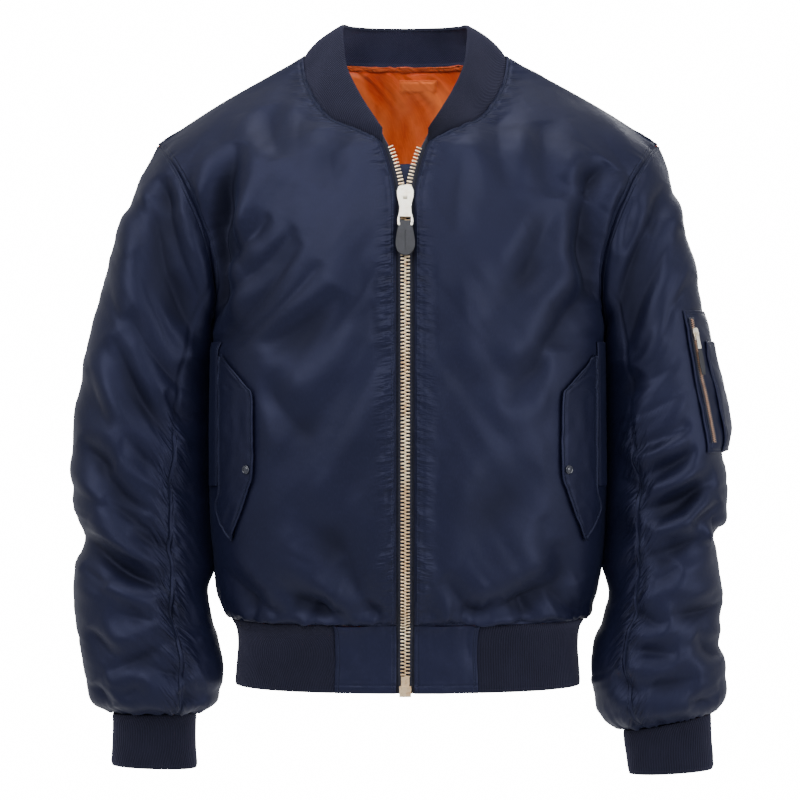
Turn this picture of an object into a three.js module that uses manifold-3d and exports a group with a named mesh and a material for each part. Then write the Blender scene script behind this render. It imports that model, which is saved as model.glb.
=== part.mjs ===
// A nylon bomber jacket, filled out as if worn, with its zip closed up to the chest.
// Millimetres, +Z up. The jacket faces -Y, so +X is the wearer's left and -X the wearer's right.
// The origin is where the neck holds the jacket up: midway between the two shoulder neck points.

import * as THREE from 'three';
import { mergeVertices } from 'three/addons/utils/BufferGeometryUtils.js';
import Module from 'manifold-3d';

const wasm = await Module();
wasm.setup();

// Cloth sizes
const SEAM_GAP = 0.3;
const SATIN_WALL = 2.6;
const RIB_WALL = 3.2;
const COLLAR_WALL = 3.6;
const LINING_WALL = 1.2;
const FLAP_WALL = 1.8;
const FLAP_LIFT = 0.8;
const SECTION_POWER = 2.4;
const BODY_LEAN = 3;

// Heights of the hem rib
const RIB_TOP = -588;
const HEM_BOTTOM = -656;
const HEM_PANEL_HALF = 72;

// Main zip sizes
const CHAIN_HALF = 4.3;
const CHAIN_DEPTH = 2.6;
const TAPE_WIDTH = 9;
const TAPE_WALL = 0.9;

// A table names its columns once, and each row below is one section, one fold or one place
function table(columns, rows) {
  const names = columns.split(' ');
  return rows.map((row) => Object.fromEntries(names.map((name, i) => [name, row[i]])));
}

// Neckline from the centre back to the zip: the seam, and the collar's upper edge above it
const NECK = table('seamX seamY seamZ topX topY topZ', [
  [0, 66, -2, 0, 50, 38],
  [50, 60, -1, 38, 44, 38],
  [88, 36, 0, 57, 27, 37],
  [105, 0, 2, 65, 2, 34],
  [103, -22, -24, 64, -24, 12],
  [93, -46, -48, 60, -47, -15],
  [77, -67, -70, 49, -69, -41],
  [57, -86, -81, 36, -87, -64],
  [39, -98, -90, 28, -99, -77],
  [25, -107, -98, 23, -105, -85],
]);
const NECK_SHOULDER = 3 / 9;

// One front, from the rib up to the shoulder seam. zipX and zipZ are on its inner edge, sideX and
// sideZ on its outer edge, and wide and deep are the half axes of the body there.
const FRONT = table('zipX zipZ sideX sideZ wide deep', [
  [9, -588, 186, -588, 186, 114],
  [9, -566, 197, -564, 197, 126],
  [9, -530, 204, -527, 204, 135],
  [9, -478, 208, -474, 208, 141],
  [9, -420, 208, -416, 208, 145],
  [9, -352, 206, -356, 206, 145],
  [9, -288, 205, -300, 205, 142],
  [9, -242, 202.5, -268, 204.7, 139],
  [9, -194, 200, -236, 207.7, 133],
  [10.5, -146, 204, -206, 219.5, 122],
  [25, -98, 213, -176, 239.4, 108],
  [47, -86, 225, -148, 260.7, 96],
  [77, -70, 237, -124, 286.6, 76],
  [99, -36, 249, -106, 328, 46],
  [105, 2, 262, -92, 262, 1],
]);
const FRONT_NECK = 10 / 14;
const UNDERARM = 6 / 14;

// The back, from the rib up to the neckline and the shoulder seams
const BACK = table('midZ sideX sideZ wide deep', [
  [-588, 186, -588, 186, 100],
  [-566, 197, -564, 197, 118],
  [-530, 204, -527, 204, 128],
  [-478, 208, -474, 208, 132],
  [-420, 208, -416, 208, 133],
  [-352, 206, -356, 206, 135],
  [-288, 205, -300, 205, 137],
  [-238, 207, -268, 209.2, 138],
  [-190, 209, -238, 216.4, 137],
  [-145, 213, -210, 228, 132],
  [-106, 221, -180, 243, 124],
  [-72, 230, -152, 258, 112],
  [-44, 240, -128, 266, 98],
  [-20, 251, -108, 264.8, 82],
  [-2, 262, -92, 262, 66],
]);
const BACK_YOKE = 11 / 14;
const BACK_NECK = 3 / 9;

// Each sleeve, from the armhole to the cuff seam: its outer and inner edge, then its middle
// and half depth from front to back
const SLEEVE_COLUMNS = 'outX outZ inX inZ midY deep';
const SLEEVE_RIGHT = table(SLEEVE_COLUMNS, [
  [262, -92, 205, -300, 0, 60],
  [271, -112, 207.6, -316, -1, 62],
  [284, -142, 208.6, -334, -2, 62],
  [296, -174, 209, -352, -3, 65],
  [307, -208, 209, -372, -4, 68],
  [317, -246, 209, -392, -5, 70],
  [328, -284, 209, -414, -6, 72],
  [336, -322, 208.6, -436, -8, 73],
  [342, -362, 208.4, -460, -10, 74],
  [347, -402, 208, -484, -12, 74],
  [347, -440, 207.6, -508, -14, 73],
  [344, -474, 207, -530, -16, 72],
  [334, -502, 206, -550, -18, 69],
  [341, -530, 204, -570, -20, 71],
  [344, -560, 200, -590, -22, 70],
  [342, -590, 194, -612, -24, 68],
  [335, -622, 190, -634, -26, 66],
  [331, -652, 192, -656, -28, 62],
  [324, -672, 196, -674, -29, 54],
  [304, -684, 216, -683, -30, 30],
]);
const SLEEVE_LEFT = table(SLEEVE_COLUMNS, [
  [263, -92, 208, -300, 0, 60],
  [271, -112, 213.6, -316, -1, 62],
  [281, -140, 214.6, -334, -2, 62],
  [290, -170, 215, -352, -3, 65],
  [299, -206, 215, -372, -4, 68],
  [306, -242, 215, -392, -5, 69],
  [313, -280, 215, -414, -6, 70],
  [320, -318, 215, -436, -8, 71],
  [329, -356, 214.6, -460, -10, 72],
  [335, -388, 214, -482, -12, 72],
  [330, -414, 213.6, -502, -13, 71],
  [336, -446, 213, -524, -15, 71],
  [333, -482, 212, -548, -17, 69],
  [323, -505, 211, -568, -19, 67],
  [328, -538, 206, -590, -21, 67],
  [331, -568, 196, -610, -23, 66],
  [325, -600, 193, -634, -25, 63],
  [332, -634, 195, -660, -27, 62],
  [331, -666, 203, -688, -29, 54],
  [318, -684, 226, -702, -30, 30],
]);
const UNDER_START = 135;
const UNDER_END = 225;
const CAP_LENGTH = 0.16;

// Cuffs: a step down from the sleeve seam for each row, with the edges to the outside and inside
const CUFF_COLUMNS = 'outX outZ inX inZ midY deep';
const CUFF_RIGHT = table(CUFF_COLUMNS, [
  [304, -684.35, 216, -683.35, -30, 30],
  [303, -694, 217, -697, -30, 28],
  [303.5, -716, 216.5, -719, -30, 27.5],
  [305, -733, 215.5, -737, -30, 28],
  [304.5, -738, 216, -741, -30, 28],
]);
const CUFF_LEFT = table(CUFF_COLUMNS, [
  [318, -684.35, 226, -702.35, -30, 30],
  [317.5, -694, 227, -712, -30, 28],
  [318.5, -716, 229, -728, -30, 27.5],
  [320, -737, 231, -743, -30, 28],
  [319, -742, 231.5, -747, -30, 28],
]);

// The hem below the body seam: half width, then half depth in front and behind
const HEM = table('z wide front back', [
  [RIB_TOP - SEAM_GAP, 185.6, 113.6, 99.6],
  [-597, 180, 110, 95],
  [-617, 178, 108, 94],
  [-642, 180, 108, 95],
  [HEM_BOTTOM, 181, 108, 95.5],
]);

// The largest folds as the front shows them, from end to end, with the depth of the trough
// (a ridge is below 0) and its half width
const FOLD_COLUMNS = 'fromX fromZ toX toZ depth width';
const BODY_FOLDS = table(FOLD_COLUMNS, [
  [-180, -104, -186, -268, 13, 13],
  [-176, -262, -140, -208, 6, 15],
  [-120, -300, -56, -220, -6, 26],
  [-160, -306, -104, -226, 6, 18],
  [-80, -88, -70, -146, 4, 14],
  [-142, -56, -128, -112, 4, 14],
  [-132, -546, -40, -598, 9, 16],
  [-164, -526, -84, -560, -6, 18],
  [-60, -520, -20, -590, 5, 14],
  [84, -570, 168, -540, 9, 16],
  [56, -596, 92, -560, 6, 13],
  [110, -530, 186, -500, -6, 18],
  [206, -120, 186, -152, 8, 13],
  [188, -150, 196, -236, 9, 13],
  [192, -240, 146, -306, 6, 17],
  [130, -430, 56, -520, 5, 22],
]);
const SLEEVE_FOLDS_RIGHT = table(FOLD_COLUMNS, [
  [-266, -146, -222, -300, 8, 15],
  [-272, -190, -240, -276, 4, 17],
  [-284, -282, -222, -352, 4, 17],
  [-300, -312, -246, -402, 4.5, 16],
  [-246, -362, -212, -394, 4, 14],
  [-282, -402, -236, -430, 4, 15],
  [-330, -406, -282, -458, 5, 15],
  [-306, -458, -252, -498, 4, 15],
  [-332, -502, -240, -552, 9, 13],
  [-330, -534, -316, -548, 4, 12],
  [-296, -578, -250, -584, 3.5, 13],
  [-300, -632, -244, -606, 4.5, 14],
  [-290, -662, -262, -646, 4, 12],
  [-228, -656, -212, -670, 4, 11],
]);
const SLEEVE_FOLDS_LEFT = table(FOLD_COLUMNS, [
  [260, -176, 214, -288, 6, 16],
  [282, -182, 226, -322, 5, 19],
  [240, -410, 282, -388, -5, 14],
  [244, -468, 316, -440, 5, 13],
  [250, -476, 306, -446, 4, 12],
  [292, -484, 322, -466, 5, 12],
  [250, -514, 306, -498, 5, 13],
  [252, -542, 276, -532, 4, 12],
  [272, -576, 330, -572, 5, 14],
  [232, -612, 272, -616, 4, 13],
  [240, -650, 300, -644, 4, 14],
]);

// Columns and rows of each wall. Along a seam both pieces have the same rows, so that it stays
// even: the armhole has 12 on each side of the shoulder, the neckline 9.
const GRID = {
  front: [10, 21],
  back: [18, 21],
  outer: [18, 26],
  under: [6, 26],
  cuff: [24, 4],
  collar: [18, 4],
  hem: [36, 4],
  hemPanel: [5, 4],
  strip: [1, 24],
  windFlap: [3, 20],
};

const clamp = (value, low, high) => Math.min(Math.max(value, low), high);
const mix = (a, b, t) => a + (b - a) * t;
const smooth = (t) => {
  const s = clamp(t, 0, 1);
  return s * s * (3 - 2 * s);
};
const radians = (degrees) => (degrees * Math.PI) / 180;
const point = (x, y, z) => new THREE.Vector3(x, y, z);
const signedPower = (value, power) => Math.sign(value) * Math.abs(value) ** power;

// Smooth reading of all the columns of a table at t, from 0 on its first row to 1 on its last
function sectionAt(rows, t) {
  const place = clamp(t, 0, 1) * (rows.length - 1);
  const low = Math.min(Math.floor(place), rows.length - 2);
  const f = place - low;
  const row = (i) => rows[clamp(i, 0, rows.length - 1)];
  const section = {};
  for (const name of Object.keys(rows[0])) {
    const [a, b, c, d] = [row(low - 1), row(low), row(low + 1), row(low + 2)].map((r) => r[name]);
    const slope = (c - a) / 2;
    const nextSlope = (d - b) / 2;
    const bend = 3 * (c - b) - 2 * slope - nextSlope;
    const twist = 2 * (b - c) + slope + nextSlope;
    section[name] = b + f * (slope + f * (bend + f * twist));
  }
  return section;
}

// Depth that the folds cut into the front at x and z
function foldDepth(folds, x, z) {
  let depth = 0;
  for (const fold of folds) {
    const alongX = fold.toX - fold.fromX;
    const alongZ = fold.toZ - fold.fromZ;
    const length2 = alongX ** 2 + alongZ ** 2;
    const t = ((x - fold.fromX) * alongX + (z - fold.fromZ) * alongZ) / length2;
    if (t < 0 || t > 1) continue;
    const across = Math.hypot(x - fold.fromX - t * alongX, z - fold.fromZ - t * alongZ);
    const reach = across / fold.width;
    const shape = Math.exp(-(reach ** 2)) - 0.35 * Math.exp(-((reach - 1.9) ** 2));
    depth += fold.depth * Math.sin(Math.PI * t) ** 0.7 * shape;
  }
  return depth;
}

// Outward unit normal of a surface at u and v, away from its core. A tube goes on past its ends in u.
function normalAt(at, core, u, v, tube = false) {
  const step = 2e-3;
  const [lowU, highU] = tube ? [u - step, u + step] : [Math.max(u - step, 0), Math.min(u + step, 1)];
  const du = at(highU, v).sub(at(lowU, v));
  const dv = at(u, Math.min(v + step, 1)).sub(at(u, Math.max(v - step, 0)));
  const normal = du.cross(dv).normalize();
  const outward = at(u, v).sub(core(u, v));
  return normal.dot(outward) < 0 ? normal.negate() : normal;
}

// A mesh from lists of points and triangles, turned the right way out
function bodyFrom(points, triangles) {
  const geometry = new THREE.BufferGeometry().setFromPoints(points);
  let volume = 0;
  for (const [a, b, c] of triangles) {
    volume += points[a].dot(points[b].clone().cross(points[c]));
  }
  const wound = volume > 0 ? triangles : triangles.map(([a, b, c]) => [a, c, b]);
  geometry.setIndex(wound.flat());
  return geometry;
}

// A closed wall of cloth. at(u, v) gives its outer points and core(u, v) a point behind them.
// seams holds, for an edge that is sewn to another piece, the direction across the seam: the wall
// stops half a gap short of the seam and its thickness never leans over it. inset moves the whole
// wall in behind the points. A ring wall closes in u; a tube's points go on past its ends.
function wall({ at, core, grid, thickness, seams = {}, inset = 0, ring = false, tube = ring }) {
  const [columns, rows] = grid;
  const across = ring ? columns : columns + 1;
  const outer = [];
  const inner = [];
  for (let j = 0; j <= rows; j += 1) {
    for (let i = 0; i < across; i += 1) {
      const u = i / columns;
      const v = j / rows;
      const place = at(u, v);
      const inward = normalAt(at, core, u, v, tube).negate();
      const edges = [
        i === 0 && !ring && seams.uStart,
        i === columns && !ring && seams.uEnd,
        j === 0 && seams.vStart,
        j === rows && seams.vEnd,
      ];
      for (const seam of edges.filter(Boolean)) {
        const direction = seam(u, v);
        place.addScaledVector(direction, -SEAM_GAP / 2);
        inward.addScaledVector(direction, -Math.max(0, inward.dot(direction)));
      }
      inward.normalize();
      outer.push(place.clone().addScaledVector(inward, inset));
      inner.push(place.clone().addScaledVector(inward, inset + thickness));
    }
  }
  const points = [...outer, ...inner];
  const back = outer.length;
  const index = (i, j) => j * across + (i % across);
  const triangles = [];
  const quad = (a, b, c, d) => triangles.push([a, b, c], [a, c, d]);
  for (let j = 0; j < rows; j += 1) {
    for (let i = 0; i < columns; i += 1) {
      const [a, b, c, d] = [index(i, j), index(i + 1, j), index(i + 1, j + 1), index(i, j + 1)];
      quad(a, b, c, d);
      quad(back + a, back + d, back + c, back + b);
    }
  }
  for (let i = 0; i < columns; i += 1) {
    quad(index(i + 1, 0), index(i, 0), back + index(i, 0), back + index(i + 1, 0));
    quad(index(i, rows), index(i + 1, rows), back + index(i + 1, rows), back + index(i, rows));
  }
  for (let j = 0; j < rows && !ring; j += 1) {
    quad(index(0, j), index(0, j + 1), back + index(0, j + 1), back + index(0, j));
    quad(index(columns, j), back + index(columns, j), back + index(columns, j + 1), index(columns, j + 1));
  }
  return bodyFrom(points, triangles);
}

// Neckline: t is 0 at the centre back, 1 at the wearer's left end and -1 at the right end
function neckSeam(t) {
  const s = sectionAt(NECK, Math.abs(t));
  return point(Math.sign(t) * s.seamX, s.seamY, s.seamZ);
}

function collarTop(t) {
  const s = sectionAt(NECK, Math.abs(t));
  return point(Math.sign(t) * s.topX, s.topY, s.topZ);
}

const intoCollar = (t) => collarTop(t).sub(neckSeam(t)).normalize();

// Angle round a body section at which it reaches x
const sectionAngle = (x, wide) => Math.asin(clamp(x / wide, 0, 1) ** (SECTION_POWER / 2));

// Point of the front before its folds. side is 1 for the wearer's left and -1 for the right.
function frontForm(side, u, v) {
  const s = sectionAt(FRONT, v);
  const angle = mix(sectionAngle(s.zipX, s.wide), sectionAngle(s.sideX, s.wide), u);
  const x = s.wide * signedPower(Math.sin(angle), 2 / SECTION_POWER);
  const y = -s.deep * signedPower(Math.cos(angle), 2 / SECTION_POWER);
  const z = mix(s.zipZ, s.sideZ, u ** 1.3);
  const place = point(side * x + BODY_LEAN * u, y, z);
  if (v > FRONT_NECK) {
    const rise = ((v - FRONT_NECK) / (1 - FRONT_NECK)) ** 4;
    const start = sectionAngle(s.zipX, s.wide);
    const edge = point(side * s.zipX, -s.deep * Math.cos(start) ** (2 / SECTION_POWER), s.zipZ);
    edge.lerp(shoulderSeam(side, 0), rise);
    place.lerp(shoulderSeam(side, u), rise);
    place.addScaledVector(neckSeam(side * neckTurn(v)).sub(edge), (1 - u) ** 3);
  }
  return place;
}

// Where the neckline is, by neckSeam's count, at v on a front
const neckTurn = (v) => mix(1, NECK_SHOULDER, (v - FRONT_NECK) / (1 - FRONT_NECK));

// Shoulder seam from the neck (along is 0) to the top of the armhole
function shoulderSeam(side, along) {
  const s = FRONT[FRONT.length - 1];
  const tip = point(side * s.sideX + BODY_LEAN, 0, s.sideZ);
  return neckSeam(side * NECK_SHOULDER).lerp(tip, along);
}

// Cloth near the zip and the seams lies flatter, so folds fade there
function frontFoldFade(u, v) {
  return smooth(u / 0.12) * smooth((1 - u) / 0.06) * smooth(v / 0.04) * smooth((1 - v) / 0.06);
}

function frontAt(side, u, v) {
  const form = (a, b) => frontForm(side, a, b);
  const place = form(u, v);
  const fade = frontFoldFade(u, v);
  if (fade === 0) return place;
  const normal = normalAt(form, bodyCore(place), u, v);
  return place.addScaledVector(normal, -fade * foldDepth(BODY_FOLDS, place.x, place.z));
}

const bodyCore = (place) => () => point(0, 0, place.z - 90);

// Point of the back: u runs from 0 at the wearer's right side to 1 at the left
function backForm(u, v) {
  const s = sectionAt(BACK, v);
  const across = 2 * u - 1;
  const side = Math.sign(across);
  const reach = Math.abs(across);
  const angle = reach * sectionAngle(s.sideX, s.wide);
  const x = s.wide * signedPower(Math.sin(angle), 2 / SECTION_POWER);
  const y = s.deep * signedPower(Math.cos(angle), 2 / SECTION_POWER);
  const z = mix(s.midZ, s.sideZ, reach ** 1.6);
  const place = point(side * x + BODY_LEAN * reach, y, z);
  if (v > BACK_YOKE) {
    const rise = (v - BACK_YOKE) / (1 - BACK_YOKE);
    place.lerp(backTop(side, reach), rise ** 2.5);
  }
  return place;
}

// Top edge of the back: the neckline, then one shoulder seam
function backTop(side, reach) {
  if (reach <= BACK_NECK) return neckSeam(side * NECK_SHOULDER * (reach / BACK_NECK));
  return shoulderSeam(side, (reach - BACK_NECK) / (1 - BACK_NECK));
}

// The back hangs in a few long soft folds from the shoulder blades and blouses over the rib
const BACK_FOLDS = table(FOLD_COLUMNS, [
  [-185, -160, -176, -300, 5, 16],
  [188, -150, 180, -290, 5, 16],
  [-120, -500, -60, -575, 4, 18],
  [70, -580, 140, -520, 4, 18],
  [-40, -560, 30, -585, 4, 15],
  [-150, -240, -60, -190, 3, 22],
  [60, -200, 150, -250, 3, 22],
]);

function backAt(u, v) {
  const place = backForm(u, v);
  const fade = smooth(u / 0.05) * smooth((1 - u) / 0.05) * smooth(v / 0.04) * smooth((1 - v) / 0.2);
  if (fade === 0) return place;
  const normal = normalAt(backForm, bodyCore(place), u, v);
  return place.addScaledVector(normal, -fade * foldDepth(BACK_FOLDS, place.x, place.z));
}

// The armhole of one side as points spaced evenly from the shoulder, down the front, under the
// arm and up the back
function armhole(side) {
  const points = [];
  const steps = 48;
  for (let i = 0; i <= steps; i += 1) points.push(frontForm(side, 1, mix(1, UNDERARM, i / steps)));
  for (let i = 1; i <= steps; i += 1) points.push(backForm((1 + side) / 2, mix(UNDERARM, 1, i / steps)));
  return points;
}

const ARMHOLES = { 1: armhole(1), '-1': armhole(-1) };

// A quarter of the way round the armhole in angle is also a quarter of its list of points
function armholeAt(side, turn) {
  const points = ARMHOLES[side];
  const place = clamp(turn, 0, 1) * (points.length - 1);
  const low = Math.min(Math.floor(place), points.length - 2);
  return points[low].clone().lerp(points[low + 1], place - low);
}

function ringPoint(side, s, angle) {
  const outward = Math.cos(angle);
  return point(
    side * (mix(s.inX, s.outX, 0.5) + ((s.outX - s.inX) / 2) * signedPower(outward, 0.92)),
    s.midY - s.deep * signedPower(Math.sin(angle), 0.92),
    mix(s.inZ, s.outZ, 0.5) + ((s.outZ - s.inZ) / 2) * signedPower(outward, 0.92),
  );
}

// Sleeve: turn is 0 on the outer edge, 0.25 in front, 0.5 on the inner edge; v is 1 at the cuff
function sleeveForm(side, turn, v) {
  const rows = side < 0 ? SLEEVE_RIGHT : SLEEVE_LEFT;
  const angle = 2 * Math.PI * turn;
  const place = ringPoint(side, sectionAt(rows, v), angle);
  if (v < CAP_LENGTH) {
    const start = ringPoint(side, sectionAt(rows, 0), angle);
    place.addScaledVector(armholeAt(side, turn).sub(start), 1 - smooth(v / CAP_LENGTH));
  }
  return place;
}

const sleeveCore = (side) => (turn, v) => {
  const s = sectionAt(side < 0 ? SLEEVE_RIGHT : SLEEVE_LEFT, v);
  return point((side * (s.inX + s.outX)) / 2, s.midY, (s.inZ + s.outZ) / 2);
};

// Folds show on the front half; the back half has the same ones, shifted down and half as deep
function sleeveAt(side, turn, v) {
  const form = (a, b) => sleeveForm(side, a, b);
  const place = form(turn, v);
  const ends = smooth(v / 0.06) * smooth((1 - v) / 0.05);
  const facing = Math.sin(2 * Math.PI * turn);
  const fade = ends * smooth((Math.abs(facing) - 0.1) / 0.45);
  if (fade === 0) return place;
  const folds = side < 0 ? SLEEVE_FOLDS_RIGHT : SLEEVE_FOLDS_LEFT;
  const depth = facing > 0 ? foldDepth(folds, place.x, place.z) : 0.6 * foldDepth(folds, place.x, place.z + 26);
  const held = side > 0 ? smooth((pocketDistance(turn, place.z) - 0.1) / 0.5) : 1;
  return place.addScaledVector(normalAt(form, sleeveCore(side), turn, v), -fade * held * depth);
}

// 0 under the sleeve pocket, growing to 1 a little way from it
function pocketDistance(turn, z) {
  const around = Math.max(0, Math.abs(((turn + 0.5) % 1) - 0.5 - 0.02) - 0.16) / 0.06;
  const along = Math.max(0, Math.abs(z + 345) - 70) / 30;
  return Math.min(1, Math.hypot(around, along));
}

const jacket = new THREE.Group();

function add(name, geometry, colour, roughness, metalness = 0) {
  const material = new THREE.MeshStandardMaterial({ color: colour, roughness, metalness });
  const mesh = new THREE.Mesh(geometry, material);
  mesh.name = name;
  jacket.add(mesh);
  return mesh;
}

const NAVY_SATIN = '#1e243c';
const NAVY_RIB = '#1c1f33';
const ORANGE_LINING = '#e8692a';
const BRASS = '#d9bd8c';
const PALE_GOLD = '#e9dfc4';
const CHARCOAL = '#3c3e48';

const SIDES = [
  { name: 'right', side: -1 },
  { name: 'left', side: 1 },
];
const DOWN = () => point(0, 0, -1);
const ARMHOLE_AXIS = point(0.94, 0, -0.34);
const acrossArmhole = (side) => ARMHOLE_AXIS.clone().multiply(point(side, 1, 1)).normalize();

// Direction across the side seam (facing is 1 in front, -1 behind), then across the armhole
function outerSeam(side, facing, v) {
  if (Math.abs(v - UNDERARM) < 1e-6) return acrossArmhole(side).add(point(0, facing, 0)).normalize();
  return v < UNDERARM ? point(0, facing, 0) : acrossArmhole(side);
}

// Fronts
function frontWall(side) {
  return wall({
    at: (u, v) => frontAt(side, u, v),
    core: (u, v) => bodyCore(frontForm(side, u, v))(),
    grid: GRID.front,
    thickness: SATIN_WALL,
    seams: {
      uStart: (u, v) => (v < FRONT_NECK ? point(0, 0, 0) : intoCollar(side * neckTurn(v))),
      uEnd: (u, v) => outerSeam(side, 1, v),
      vStart: DOWN,
      vEnd: () => point(0, 1, 0),
    },
  });
}

for (const { name, side } of SIDES) {
  add(`front_${name}`, frontWall(side), NAVY_SATIN, 0.45);
}

// Back
const backEdge = (side) => (u, v) => outerSeam(side, -1, v);
const backTopSeam = (u) => {
  const across = 2 * u - 1;
  if (Math.abs(across) >= BACK_NECK) return point(0, -1, 0);
  return intoCollar((NECK_SHOULDER * across) / BACK_NECK);
};
const BACK_SEAMS = { uStart: backEdge(-1), uEnd: backEdge(1), vStart: DOWN, vEnd: backTopSeam };
const backCore = (u, v) => bodyCore(backForm(u, v))();

add('back', wall({
  at: backAt,
  core: backCore,
  grid: GRID.back,
  thickness: SATIN_WALL,
  seams: BACK_SEAMS,
}), NAVY_SATIN, 0.45);

// The part of the lining that shows through the neck and the hem: behind the back, inside it
const LINING_INSET = SATIN_WALL + 0.6;
add('lining_back', wall({
  at: backAt,
  core: backCore,
  grid: GRID.back,
  thickness: LINING_WALL,
  inset: LINING_INSET,
  seams: BACK_SEAMS,
}), ORANGE_LINING, 0.55);

// Place on a surface whose x and z are given, found by stepping towards them
function placeOn(at, x, z, start) {
  let [u, v] = start;
  for (let i = 0; i < 40; i += 1) {
    const here = at(u, v);
    const h = 1e-3;
    const du = at(u + h, v).sub(here).divideScalar(h);
    const dv = at(u, v + h).sub(here).divideScalar(h);
    const determinant = du.x * dv.z - dv.x * du.z;
    const missX = x - here.x;
    const missZ = z - here.z;
    u = clamp(u + clamp((missX * dv.z - dv.x * missZ) / determinant, -0.1, 0.1), 0, 0.995);
    v = clamp(v + clamp((du.x * missZ - missX * du.z) / determinant, -0.1, 0.1), 0, 0.995);
  }
  return [u, v];
}

// A point over a surface at a given x and z, moved out along the normal
function pointOver(at, core, x, z, start, lift) {
  const [u, v] = placeOn(at, x, z, start);
  return at(u, v).addScaledVector(normalAt(at, core, u, v), lift);
}

// Bare patch sewn on the lining below the collar
const PATCH = { fromX: -6, toX: 35, topZ: -10, bottomZ: -22, wall: 0.8, lift: 2 };
const PATCH_INSET = LINING_INSET + LINING_WALL + PATCH.lift;
add('neck_patch', wall({
  at: (u, v) => pointOver(backAt, backCore, mix(PATCH.fromX, PATCH.toX, u),
    mix(PATCH.bottomZ, PATCH.topZ, v), [0.5, 0.93], -PATCH_INSET),
  core: backCore,
  grid: [6, 2],
  thickness: PATCH.wall,
}), ORANGE_LINING, 0.6);

// Sleeves, each from an outer and an under piece
for (const { name, side } of SIDES) {
  const pieces = [
    { part: 'outer', from: UNDER_END - 360, to: UNDER_START, grid: GRID.outer },
    { part: 'under', from: UNDER_START, to: UNDER_END, grid: GRID.under },
  ];
  for (const { part, from, to, grid } of pieces) {
    const turnAt = (u) => (((mix(from, to, u) / 360) % 1) + 1) % 1;
    const at = (u, v) => sleeveAt(side, turnAt(u), v);
    const step = 2 / (to - from);
    const along = (u, v) => at(u + step, v).sub(at(u - step, v)).normalize();
    add(`sleeve_${part}_${name}`, wall({
      at,
      core: sleeveCore(side),
      grid,
      thickness: SATIN_WALL,
      tube: true,
      seams: {
        uStart: (u, v) => along(u, v).negate(),
        uEnd: along,
        vStart: () => acrossArmhole(side).negate(),
        vEnd: DOWN,
      },
    }), NAVY_SATIN, 0.45);
  }
}

// Cuffs
for (const { name, side } of SIDES) {
  const rows = side < 0 ? CUFF_RIGHT : CUFF_LEFT;
  const middle = (u, v) => {
    const s = sectionAt(rows, v);
    return point((side * (s.inX + s.outX)) / 2, s.midY, (s.inZ + s.outZ) / 2);
  };
  add(`cuff_${name}`, wall({
    at: (u, v) => ringPoint(side, sectionAt(rows, v), 2 * Math.PI * u),
    core: middle,
    grid: GRID.cuff,
    thickness: RIB_WALL,
    ring: true,
    seams: { vStart: () => point(0, 0, 1) },
  }), NAVY_RIB, 0.9);
}

// Collar, from the wearer's right end round the back to the left end
const COLLAR_BULGE = 4;
const collarCore = (u) => {
  const t = 2 * u - 1;
  return neckSeam(t).lerp(collarTop(t), 0.5).multiply(point(0.4, 0.4, 1)).add(point(0, 0, -40));
};
function collarAt(u, v) {
  const t = 2 * u - 1;
  const place = neckSeam(t).lerp(collarTop(t), v);
  const outward = place.clone().multiply(point(1, 1, 0)).normalize().add(point(0, 0, 0.5)).normalize();
  const narrow = 1 - 0.7 * Math.abs(t) ** 4;
  return place.addScaledVector(outward, COLLAR_BULGE * narrow * 4 * v * (1 - v));
}
add('collar', wall({
  at: collarAt,
  core: collarCore,
  grid: GRID.collar,
  thickness: COLLAR_WALL,
  seams: { vStart: (u) => intoCollar(2 * u - 1).negate() },
}), NAVY_RIB, 0.9);

// Hem: turn is 0 at the centre front, growing towards the wearer's left and 0.5 at the back
function hemAt(turn, v) {
  const s = sectionAt(HEM, v);
  const angle = 2 * Math.PI * turn;
  const c = Math.cos(angle);
  const x = s.wide * signedPower(Math.sin(angle), 2 / SECTION_POWER);
  const y = -(c > 0 ? s.front : s.back) * signedPower(c, 2 / SECTION_POWER);
  return point(x + BODY_LEAN * Math.min(1, Math.abs(x) / s.wide), y, s.z);
}
const hemTurn = (x) => sectionAngle(x, HEM[2].wide) / (2 * Math.PI);
const PANEL_TURN = hemTurn(HEM_PANEL_HALF);
const ZIP_TURN = hemTurn(FRONT[0].zipX);
const hemCore = () => point(0, 0, -620);
const hemGap = SEAM_GAP / 1000;

add('hem_rib', wall({
  at: (u, v) => hemAt(mix(PANEL_TURN + hemGap, 1 - PANEL_TURN - hemGap, u), v),
  core: hemCore,
  grid: GRID.hem,
  thickness: RIB_WALL,
  seams: { vStart: () => point(0, 0, 1) },
}), NAVY_RIB, 0.9);

for (const { name, side } of SIDES) {
  add(`hem_panel_${name}`, wall({
    at: (u, v) => hemAt((side * mix(ZIP_TURN, PANEL_TURN - hemGap, u) + 1) % 1, v),
    core: hemCore,
    grid: GRID.hemPanel,
    thickness: RIB_WALL,
    seams: { vStart: () => point(0, 0, 1) },
  }), NAVY_SATIN, 0.45);
}

// Path of the front edge beside the zip, from the hem (v is 0) up to the neckline (v is 1)
const HEM_SHARE = 0.12;
function zipEdge(v) {
  const low = v < HEM_SHARE;
  const edge = low ? hemAt(ZIP_TURN, 1 - v / HEM_SHARE)
    : frontForm(1, 0, ((v - HEM_SHARE) / (1 - HEM_SHARE)) * FRONT_NECK);
  edge.x = Math.max(edge.x, FRONT[0].zipX);
  return edge;
}

// Unit vector into the body from the face of the cloth beside the zip
function zipInward(v) {
  const along = zipEdge(Math.min(v + 0.01, 1)).sub(zipEdge(Math.max(v - 0.01, 0)));
  return point(0, along.z, -along.y).normalize();
}

// A point beside the zip: so far outside the front edge (towards the middle is below 0) and so
// far behind the face
function besideZip(side, v, out, behind) {
  const edge = zipEdge(v);
  return point(side * (edge.x + out), edge.y, edge.z).addScaledVector(zipInward(v), behind);
}

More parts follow.
